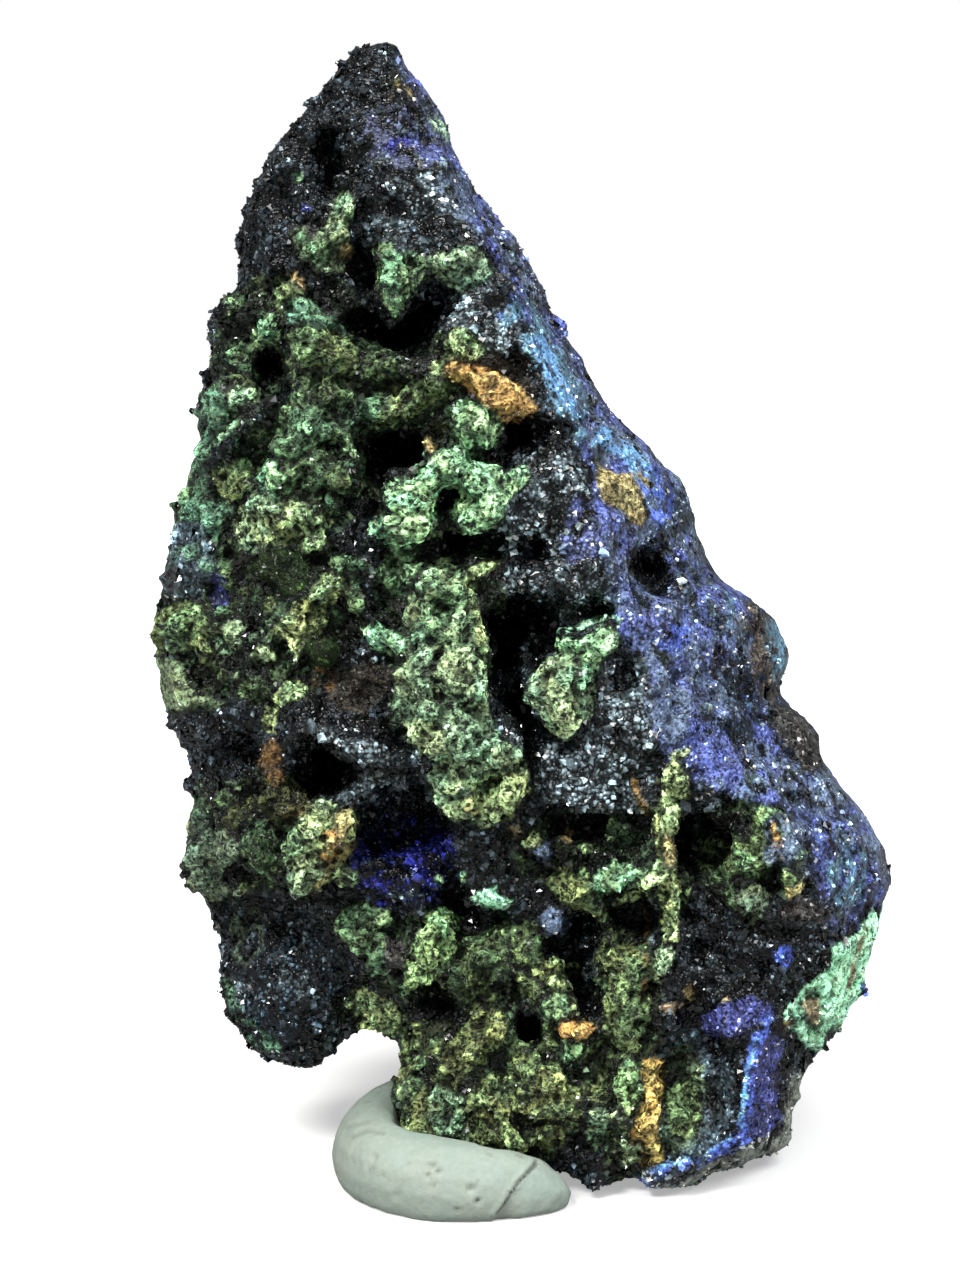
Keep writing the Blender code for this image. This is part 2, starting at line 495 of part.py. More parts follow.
# ---------------------------------------------------------------- the stone
def loft_body(bm):
    """Skin the cross-sections and close both ends."""
    rings = [[bm.verts.new(point) for point in section_ring(row)] for row in SECTIONS]
    for upper, lower in zip(rings, rings[1:]):
        for side in range(RING_SIDES):
            other = (side + 1) % RING_SIDES
            bm.faces.new((upper[side], upper[other], lower[other], lower[side]))
    bm.faces.new(list(reversed(rings[0])))
    bm.faces.new(rings[-1])
    bmesh.ops.recalc_face_normals(bm, faces=bm.faces)


def add_ellipsoid(bm, centre, half_sizes, lean=0.0):
    """Add a closed ellipsoid that leans to the right by an angle in degrees."""
    place = (
        Matrix.Translation(centre)
        @ Matrix.Rotation(math.radians(lean), 4, "Y")
        @ Matrix.Diagonal((*half_sizes, 1.0))
    )
    bmesh.ops.create_icosphere(bm, subdivisions=BALL_SUBDIVISIONS, radius=1.0, matrix=place)


def add_hollows(bm):
    """Ellipsoids that open the front's vugs and pits."""
    for h, z, half_width, half_height, deep, lean in HOLLOWS:
        deep *= HOLLOW_RELIEF
        centre = spot(h, z, front_depth(h, z) - HOLLOW_PROUD * deep)
        add_ellipsoid(bm, centre, (half_width, (1.0 + HOLLOW_PROUD) * deep, half_height), lean)


def add_back_hollows(bm):
    """Shallow hollows of the back."""
    for h, z, half_width, half_height, height, lean in BACK_FORMS:
        if height < 0.0:
            centre = spot(h, z, back_depth(h, z) + BACK_HOLLOW_INSET)
            add_ellipsoid(bm, centre, (half_width, -height, half_height), lean)


def add_lobes(bm):
    """Lobes that stand proud of the front face."""
    for h, z, half_width, half_height, proud, half_depth, lean in LOBES:
        centre = spot(h, z, front_depth(h, z) - LOBE_RELIEF * proud + half_depth)
        add_ellipsoid(bm, centre, (half_width, half_depth, half_height), lean)


def add_back_lobes(bm):
    """Swellings of the back."""
    for h, z, half_width, half_height, height, lean in BACK_FORMS:
        if height > 0.0:
            half_depth = 2.0 * height + BACK_LOBE_ROOT
            centre = spot(h, z, back_depth(h, z) + height - half_depth)
            add_ellipsoid(bm, centre, (half_width, half_depth, half_height), lean)


def add_hanging_lobe(bm):
    """The rounded azurite mass at the lower left, free of the foot."""
    for h, z, depth, half_width, half_height, half_depth in HANGING_LOBE:
        add_ellipsoid(bm, spot(h, z, depth), (half_width, half_depth, half_height))


def add_displace(item, name, noise):
    """Roughen a surface, more where its roughness group weighs more."""
    kind, grain, height = noise
    texture = bpy.data.textures.new(name, kind)
    texture.noise_scale = grain * MM
    displace = item.modifiers.new(name, "DISPLACE")
    displace.texture = texture
    displace.texture_coords = "LOCAL"
    displace.strength = height * MM
    displace.mid_level = 0.5
    displace.vertex_group = ROUGH_GROUP if ROUGH_GROUP in item.vertex_groups else ""


def keep_largest_shell(item):
    """Delete closed bubbles and crumbs, and keep the outer shell."""
    bm = bmesh.new()
    bm.from_mesh(item.data)
    unseen = set(bm.verts)
    shells = []
    while unseen:
        shell = []
        waiting = [unseen.pop()]
        while waiting:
            vertex = waiting.pop()
            shell.append(vertex)
            for edge in vertex.link_edges:
                other = edge.other_vert(vertex)
                if other in unseen:
                    unseen.remove(other)
                    waiting.append(other)
        shells.append(shell)
    shells.sort(key=len)
    for shell in shells[:-1]:
        bmesh.ops.delete(bm, geom=shell, context="VERTS")
    bm.to_mesh(item.data)
    bm.free()


def decimate_to(item, triangles):
    """Thin a mesh out to a number of triangles."""
    item.data.calc_loop_triangles()
    thin = item.modifiers.new("thin_out", "DECIMATE")
    thin.ratio = min(1.0, triangles / len(item.data.loop_triangles))
    thin.use_collapse_triangulate = True


def weigh_roughness(item):
    """Full roughness on the vuggy front, and a calmer surface behind."""
    rough = item.vertex_groups.new(name=ROUGH_GROUP)
    for vertex in item.data.vertices:
        weight = 1.0 if vertex.co.y < CALM_FROM * MM else CALM_SHARE
        rough.add([vertex.index], weight, "REPLACE")


def build_stone(collection, guides):
    """The stone: body less its hollows, with its lobes grown on, then roughened."""
    hollow_bm = bmesh.new()
    add_hollows(hollow_bm)
    add_back_hollows(hollow_bm)
    hollows = object_from_bmesh(hollow_bm, "hollow_shapes", guides)
    add_remesh(hollows, VOXEL)
    add_displace(hollows, "ragged_rims", RAGGED_RIMS)
    hollows = evaluated_copy(hollows, "hollow_shapes", guides)
    as_cutter(hollows)

    body_bm = bmesh.new()
    loft_body(body_bm)
    add_hanging_lobe(body_bm)
    body = object_from_bmesh(body_bm, "body", collection)
    add_remesh(body, VOXEL)
    cut = body.modifiers.new("hollows", "BOOLEAN")
    cut.operation = "DIFFERENCE"
    cut.object = hollows
    body = evaluated_copy(body, "body", collection)
    bpy.data.objects.remove(hollows, do_unlink=True)

    whole_bm = bmesh.new()
    whole_bm.from_mesh(body.data)
    bmesh.ops.scale(whole_bm, vec=(1.0 / MM, 1.0 / MM, 1.0 / MM), verts=whole_bm.verts)
    bpy.data.objects.remove(body, do_unlink=True)
    add_lobes(whole_bm)
    add_back_lobes(whole_bm)
    rough = object_from_bmesh(whole_bm, "rough_stone", collection)
    add_remesh(rough, VOXEL)
    rough = evaluated_copy(rough, "rough_stone", collection)
    weigh_roughness(rough)
    add_displace(rough, "swells", SWELLS)
    add_displace(rough, "lumps", LUMPS)
    add_remesh(rough, VOXEL)
    stone = evaluated_copy(rough, "azurite_stone", collection)
    keep_largest_shell(stone)
    decimate_to(stone, STONE_TRIANGLES)
    stone = evaluated_copy(stone, "azurite_stone", collection)
    finish(stone, principled("stone", STONE_COLOUR, STONE_ROUGHNESS))
    return stone


# ---------------------------------------------------------------- the putty ring
def putty_roll(guides):
    """Round roll along the floor line, thinner towards its ends."""
    curve = bpy.data.curves.new("putty_line", "CURVE")
    curve.dimensions = "3D"
    curve.bevel_depth = MM
    curve.bevel_resolution = PUTTY_BEVEL
    curve.use_fill_caps = True
    spline = curve.splines.new("NURBS")
    spline.points.add(len(PUTTY_LINE) - 1)
    for point, (x, y, radius) in zip(spline.points, PUTTY_LINE):
        point.co = (x * MM, y * MM, radius * PUTTY_SINK * MM, 1.0)
        point.radius = radius
    spline.use_endpoint_u = True
    spline.order_u = PUTTY_LINE_ORDER
    spline.resolution_u = PUTTY_LINE_STEPS
    roll = bpy.data.objects.new("putty_line", curve)
    guides.objects.link(roll)
    return evaluated_copy(roll, "putty_roll", guides)


def grown_stone(stone, guides):
    """The stone with the fit gap added all round, to press into the putty."""
    cutter = bpy.data.objects.new("stone_print", stone.data.copy())
    guides.objects.link(cutter)
    swell = cutter.modifiers.new("fit_gap", "DISPLACE")
    swell.strength = FIT_SWELL * FIT_GAP * MM
    swell.mid_level = 0.0
    add_remesh(cutter, PRINT_VOXEL)
    cutter = evaluated_copy(cutter, "stone_print", guides)
    keep_largest_shell(cutter)
    as_cutter(cutter)
    return cutter


def floor_slab(guides):
    """Block whose top is the floor, to flatten the roll's underside."""
    bm = bmesh.new()
    place = Matrix.Translation((0.0, 0.0, -FLOOR_BLOCK[2] / 2.0)) @ Matrix.Diagonal((*FLOOR_BLOCK, 1.0))
    bmesh.ops.create_cube(bm, size=1.0, matrix=place)
    slab = object_from_bmesh(bm, "floor_slab", guides)
    as_cutter(slab)
    return slab


def subtract(item, cutter):
    """Cut one closed mesh from another."""
    cut = item.modifiers.new(cutter.name, "BOOLEAN")
    cut.operation = "DIFFERENCE"
    cut.object = cutter


def build_putty(stone, collection, guides):
    """The putty ring: a roll, pressed flat below and printed by the stone above."""
    roll = putty_roll(guides)
    add_remesh(roll, PUTTY_VOXEL)
    roll = evaluated_copy(roll, "putty_roll", guides)
    roll.data.transform(Matrix.Diagonal((1.0, 1.0, PUTTY_HEIGHT, 1.0)))
    print_of_stone = grown_stone(stone, guides)
    subtract(roll, print_of_stone)
    roll = evaluated_copy(roll, "putty_pressed", guides)
    add_remesh(roll, PUTTY_VOXEL)
    roll = evaluated_copy(roll, "putty_pressed", guides)
    keep_largest_shell(roll)
    decimate_to(roll, PUTTY_TRIANGLES)
    slab = floor_slab(guides)
    subtract(roll, slab)
    ring = evaluated_copy(roll, "putty_ring", collection)
    for guide in (print_of_stone, slab):
        bpy.data.objects.remove(guide, do_unlink=True)
    finish(ring, principled("putty", PUTTY_COLOUR, PUTTY_ROUGHNESS))
    return ring


def stand_at_origin(items):
    """Centre the whole on the origin, with its underside on z = 0."""
    corners = [vertex.co for item in items for vertex in item.data.vertices]
    low = Vector([min(corner[axis] for corner in corners) for axis in range(3)])
    high = Vector([max(corner[axis] for corner in corners) for axis in range(3)])
    shift = Vector((-(low.x + high.x) / 2.0, -(low.y + high.y) / 2.0, -low.z))
    for item in items:
        item.data.transform(Matrix.Translation(shift))
    print("moved by (mm)", [round(value / MM, 4) for value in shift])
    print("size (mm)", [round(value / MM, 3) for value in high - low])


def main():
    """Build the specimen and its ring."""
    clear_scene()
    collection = new_collection("azurite_specimen")
    guides = new_collection("guides")
    stone = build_stone(collection, guides)
    ring = build_putty(stone, collection, guides)
    stand_at_origin((stone, ring))


main()
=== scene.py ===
"""Looks of the azurite specimen that stands in its ring of mineral putty.

Lengths are in millimetres until a mesh is made. A place on the front is given as (h, z): the point where
the line of sight to it from EYE crosses the middle plane of the layout, with h to the right and z up.
"""
import itertools
import math

import bmesh
import bpy
import numpy as np
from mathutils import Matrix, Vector

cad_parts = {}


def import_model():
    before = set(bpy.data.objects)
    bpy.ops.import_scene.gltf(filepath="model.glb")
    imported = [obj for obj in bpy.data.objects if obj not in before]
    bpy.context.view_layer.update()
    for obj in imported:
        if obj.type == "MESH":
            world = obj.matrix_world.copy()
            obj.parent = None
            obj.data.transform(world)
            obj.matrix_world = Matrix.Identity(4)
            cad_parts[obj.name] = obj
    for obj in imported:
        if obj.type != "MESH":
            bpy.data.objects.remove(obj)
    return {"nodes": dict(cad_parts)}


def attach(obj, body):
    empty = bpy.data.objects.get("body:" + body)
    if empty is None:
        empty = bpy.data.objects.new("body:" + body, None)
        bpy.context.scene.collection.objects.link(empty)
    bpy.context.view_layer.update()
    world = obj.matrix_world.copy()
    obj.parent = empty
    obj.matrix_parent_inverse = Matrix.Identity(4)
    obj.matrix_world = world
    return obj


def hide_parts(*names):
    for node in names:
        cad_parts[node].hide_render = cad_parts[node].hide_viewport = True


MM = 0.001                              # metres
TO_FRAME = np.array((-0.9436, -4.8243, 0.0), np.float32)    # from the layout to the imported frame
EVERYWHERE = slice(None)                # all the points of a surface

EYE = np.array((-4.4, -220.0, 82.0), np.float32)            # the camera's place in the layout
LOOK_DOWN = 8.0                         # degrees
FOCAL_PX = 2400.0
IMAGE_HEIGHT_PX = 1280
SENSOR_WIDTH = 36.0
FLOOR_HALF = 3.0                        # metres
WHITE = (1.0, 1.0, 1.0, 1.0)
# Lamps: where each shines from, how many degrees wide it looks, strength, colour.
LAMPS = {
    "key": ((-0.42, -0.60, 0.82), 16.0, 2.6, (1.0, 0.99, 0.97)),
    "top": ((0.45, -0.44, 0.92), 34.0, 1.95, (1.0, 1.0, 1.0)),
}

COARSE_VOXEL = 0.5
FRONT_VOXEL = 0.35
BACK_VOXEL = 0.6
PUTTY_VOXEL = 0.3
BACK_FROM = 6.0                         # depth where the finer front surface ends
BACK_OVERLAP = 0.4                      # how far the back's surface reaches in front of that
SPLIT_AT = -4.0                         # where the front is parted into a left and a right piece
LOWEST_STONE = 0.06                     # the stone's surface ends at this height
CALM_TIP = (99.0, 103.0)                # heights over which the tip's relief grows calmer
SHADOW_CREASE = 0.9                            # width of the crease round a form, sunk and painted near-black as its shadow
SHADOW_CREASE_FROM = 0.6                       # a form that stands less proud than this has no crease
FORM_REACH = SHADOW_CREASE + 0.2               # how far outside its outline a form can change anything
ROUND_EDGE = 1.4                        # width of a form's rounded edge
PATCH_WARP = 0.8                        # how far the edges of grounds and patches stray
VUG_WARP = 0.65                         # and those of vugs
FORM_WARP = 0.28                        # and those of forms and strokes
FAR = 99.0                              # a gap that counts as far away
GROUND_SINK = 0.35                      # how deep the ground between the forms lies
CRUST_SINK = 1.8                        # how much deeper where it is a crust
GAP_SINK = 1.1                          # and how much deeper again in its gaps
FOLD_HEIGHT = 0.8
SMALL_FOLD_HEIGHT = 0.9
SWELL_HEIGHT = 0.45
GRIT_HEIGHT = 0.35
CRINKLE_HEIGHT = 0.8
BUMP_HEIGHT = 0.3
CREST_SCALES = ((3, 0.16), (30, 0.75))  # rounds of smoothing, and the height of a full crest above that

# Lobes of the crusts: size, seed, share of lobes that are missing, how strongly they show.
BROAD_LOBES = (2.8, 91, 0.22, 1.0)
FORM_LOBES = (2.3, 95, 0.05, 0.5)
LOBE_WARMTH = np.array((0.13, 0.0, -0.08), np.float32)

# Noise fields: grain, seed.
NOISES = {
    "broad": (9.0, 21),
    "fine": (2.6, 23),
    "crumbs": (1.9, 27),
    "rust": (5.0, 29),
    "ragged": (1.2, 31),
    "gaps": (3.6, 33),
    "small_gaps": (1.6, 35),
    "shift_h": (3.0, 3),
    "shift_z": (3.0, 5),
    "jitter_h": (0.9, 7),
    "jitter_z": (0.9, 9),
    "shift_aside": (7.0, 13),
    "flank_patch": (5.0, 41),
    "flank_fleck": (1.6, 43),
    "flank_green": (3.2, 45),
    "flank_indigo": (2.2, 47),
    "flank_pits": (1.1, 49),
    "crinkles": (1.1, 51),
    "small_crinkles": (0.6, 53),
    "bumps": (0.8, 57),
    "folds": (3.4, 71),
    "small_folds": (1.6, 73),
    "clumps": (1.5, 75),
    "swell": (2.4, 77),
    "grit": (1.3, 79),
    "putty_shift": (1.3, 81),
    "putty_swell": (5.0, 83),
    "putty_dimples": (1.4, 85),
    "putty_specks": (0.7, 87),
}
# Noise lies on a lattice that is turned away from the axes, with a repeatable hash at its points.
TURN = np.array(((0.36, 0.48, -0.80), (-0.80, 0.60, 0.00), (0.48, 0.64, 0.60)), np.float32)
HASH_AXES = (73856093, 19349663, 83492791)
HASH_SEED = 2654435761
HASH_MIX = ((16, 2246822519), (13, 3266489917))
HASH_TOP = 4294967295

# Lumps: share of the points with one at most, and size.
CRUST_LUMPS = (0.07, 0.65)
DRUSE_LUMPS = (0.08, 0.55)
LUMP_LEAN = 0.6
SIZE_SPREAD = 0.28                      # how much lumps and crystals differ in size, as a logarithm

DRUSE_SIZE = (0.42, 0.37, 0.36)
# Crystals: share of the surface's points with one, size, lean, how much their tones differ, seed.
CRYSTAL_SETS = {
    "azurite_druse_left": (0.38, DRUSE_SIZE, 0.6, 0.9, 61),
    "azurite_druse_right": (0.38, DRUSE_SIZE, 0.6, 0.9, 62),
    "azurite_flank": (0.36, (0.33, 0.27, 0.24), 0.7, 0.9, 63),
    "malachite_grains": (0.06, (0.34, 0.26, 0.20), 0.8, 0.55, 67),
}
CRYSTALS_FROM = 0.6                     # height of the lowest crystals
CRYSTALS_SUNK = 0.12                    # how deep they are rooted
ROOT_JITTER = 0.08                      # how far their roots stray
CORNER_JITTER = 0.08                    # how far their corners stray, as a share of their size
BACK_DENSITY = 0.6                      # crystals on the back, for each that the front would have
PAINTED_GLINT_SHARE = 0.15                       # share of the crystals painted much paler, as glints
PAINTED_GLINT_GAIN = 6.0                         # how much paler these painted glints are
PAINTED_GLINT_SIZE = 0.75                        # and how much smaller
GRAIN_CREST_SHADE = (0.4, 0.4, 0.4, 0.4, 0.9, 0.9, 0.9, 0.9)     # painted shade: a grain's foot is darker than its top

# A blunt crystal of size 1: its four corners below and its four above, and its sides and top.
BLOCK = np.array((
    (-0.5, -0.42, -0.4), (0.5, -0.42, -0.4), (0.5, 0.42, -0.4), (-0.5, 0.42, -0.4),
    (-0.36, -0.3, 0.62), (0.38, -0.26, 0.78), (0.3, 0.28, 0.5), (-0.34, 0.26, 0.36),
), np.float32)
BLOCK_FACES = np.array(((0, 1, 5, 4), (1, 2, 6, 5), (2, 3, 7, 6), (3, 0, 4, 7), (4, 5, 6, 7)))

# Colours that are mixed into the looks.
WARM_STAIN = (1.0, 0.72, 0.38, 1.0)
COOL_STAIN = (0.88, 1.0, 1.03, 1.0)
# painted glints on the crust
PAINTED_GLINT_SPECK = (0.62, 0.70, 0.58, 1.0)
PUTTY_WARM = (0.400, 0.462, 0.390, 1.0)
PUTTY_COOL = (0.355, 0.452, 0.395, 1.0)
# dark grey-green for painted shade in the putty's seam, folds and dents, and for its specks
PUTTY_SHADE_AND_SPECKS = (0.20, 0.21, 0.17, 1.0)
DIM_FLOOR = (0.30, 0.30, 0.30, 1.0)

# Minerals: linear colour, how far each is a crust (1) or a druse of crystals (0), depth of its relief.
MINERALS = {
    # painted_shade_black is no mineral: a near-black painted shade for vugs, holes, creases, gaps and pits
    "painted_shade_black": ((0.0035, 0.0045, 0.0050), 0.3, 1.0),
    "druse": ((0.018, 0.025, 0.031), 0.0, 1.0),
    "greydruse": ((0.153, 0.203, 0.228), 0.0, 0.9),
    "navy": ((0.020, 0.038, 0.056), 0.0, 0.66),
    "violet": ((0.145, 0.182, 0.480), 0.0, 0.5),
    "royal": ((0.030, 0.036, 0.330), 0.0, 0.6),
    "blueviolet": ((0.140, 0.185, 0.630), 0.0, 0.4),
    "blue": ((0.120, 0.200, 0.850), 0.2, 0.4),
    "indigo": ((0.080, 0.095, 0.320), 0.0, 0.5),
    "sky": ((0.280, 0.620, 1.150), 0.3, 0.3),
    "skyteal": ((0.170, 0.350, 0.500), 0.2, 0.4),
    "greyblue": ((0.190, 0.265, 0.410), 0.1, 0.4),
    "moss": ((0.058, 0.092, 0.040), 1.0, 1.0),
    "mossflat": ((0.012, 0.026, 0.005), 1.0, 0.2),
    "olive": ((0.135, 0.195, 0.080), 1.0, 1.0),
    "green": ((0.125, 0.215, 0.105), 1.0, 1.0),
    "grass": ((0.215, 0.360, 0.155), 1.0, 1.0),
    "sage": ((0.250, 0.365, 0.200), 1.0, 1.0),
    "sageflat": ((0.190, 0.260, 0.140), 1.0, 0.4),
    "lime": ((0.350, 0.455, 0.200), 1.0, 1.0),
    "mint": ((0.280, 0.505, 0.262), 1.0, 1.0),
    # pale mint, made brighter than its own colour as painted light
    "mintbright": ((0.600, 1.180, 0.750), 1.0, 0.4),
    "teal": ((0.110, 0.225, 0.135), 1.0, 0.8),
    "footolive": ((0.155, 0.195, 0.075), 1.0, 1.0),
    "greygreen": ((0.128, 0.176, 0.108), 1.0, 0.7),
    "ochre": ((0.420, 0.320, 0.140), 0.8, 0.6),
    "yellow": ((0.680, 0.600, 0.260), 0.8, 0.6),
    "orange": ((0.560, 0.330, 0.110), 0.8, 0.6),
    "orangestripe": ((0.450, 0.310, 0.090), 1.0, 0.8),
    "orangebrown": ((0.200, 0.110, 0.040), 0.7, 0.6),
    "tan": ((0.120, 0.096, 0.078), 0.5, 0.6),
    "brown": ((0.036, 0.029, 0.022), 0.6, 0.8),
    "greygrass": ((0.240, 0.366, 0.222), 1.0, 0.8),
    "olivebrown": ((0.042, 0.045, 0.016), 0.9, 1.0),
    "greybrown": ((0.060, 0.056, 0.054), 0.5, 0.7),
    "sand": ((0.340, 0.270, 0.160), 0.7, 0.5),
    # white is no mineral: a painted glint
    "white": ((0.700, 0.760, 0.800), 0.4, 0.4),
    "greyviolet": ((0.105, 0.125, 0.235), 0.0, 0.5),
    "slate": ((0.095, 0.142, 0.176), 0.3, 0.7),
    "rim": ((0.430, 0.460, 0.400), 0.6, 0.25),
}

# Where the front turns into the blue flank, from the peak down.
RIDGE = (
    (-11.6, 103.5), (-8.7, 98.3), (-6.9, 94.3), (-5.3, 89.8), (-3.8, 86.3), (-2.1, 83.1), (0.0, 79.5),
    (1.8, 75.7), (2.5, 73.2), (4.6, 69.6), (5.7, 66.4), (5.9, 62.2), (6.7, 57.6), (8.7, 52.9),
    (10.5, 46.4), (12.4, 41.7), (15.2, 36.9), (20.4, 36.0), (24.6, 33.1), (27.1, 28.3), (29.0, 23.5),
    (30.5, 14.0), (31.0, -2.0),
)

# Broad grounds under the forms: mineral, h, z, half width, half height, lean to the right in degrees.
GROUNDS = (
    ("moss", -20.5, 73.0, 9.0, 12.0, -8),
    ("moss", -25.0, 54.0, 10.0, 9.0, 0),
    ("green", -21.0, 66.0, 6.0, 6.0, 0),
    ("moss", -8.0, 58.0, 6.0, 16.0, 0),
    ("moss", -7.5, 75.0, 5.0, 4.0, 0),
    ("moss", -26.0, 33.0, 7.0, 6.0, 0),
    ("moss", -9.0, 20.0, 6.0, 5.0, 0),
    ("olive", -3.0, 12.0, 10.0, 13.0, 0),
    ("olive", 9.4, 12.0, 3.4, 14.0, 0),
    ("moss", 8.0, 31.0, 9.0, 5.0, 0),
    ("moss", 20.5, 31.0, 4.8, 5.0, 0),
    ("slate", 15.5, 7.0, 4.2, 6.5, 0),
    ("greygreen", 14.6, 7.0, 2.2, 5.5, 0),
    ("moss", -32.0, 52.0, 4.0, 8.0, 0),
    ("teal", -30.0, 66.0, 3.5, 7.0, 12),
    ("slate", -31.5, 58.5, 3.0, 4.0, 0),
    ("greygreen", -31.0, 31.0, 3.5, 4.0, 0),
    ("druse", -20.0, 92.0, 6.0, 9.0, 10),
    ("druse", -16.5, 41.5, 8.0, 4.0, -15),
    ("druse", -29.0, 41.0, 5.5, 3.6, 0),
)

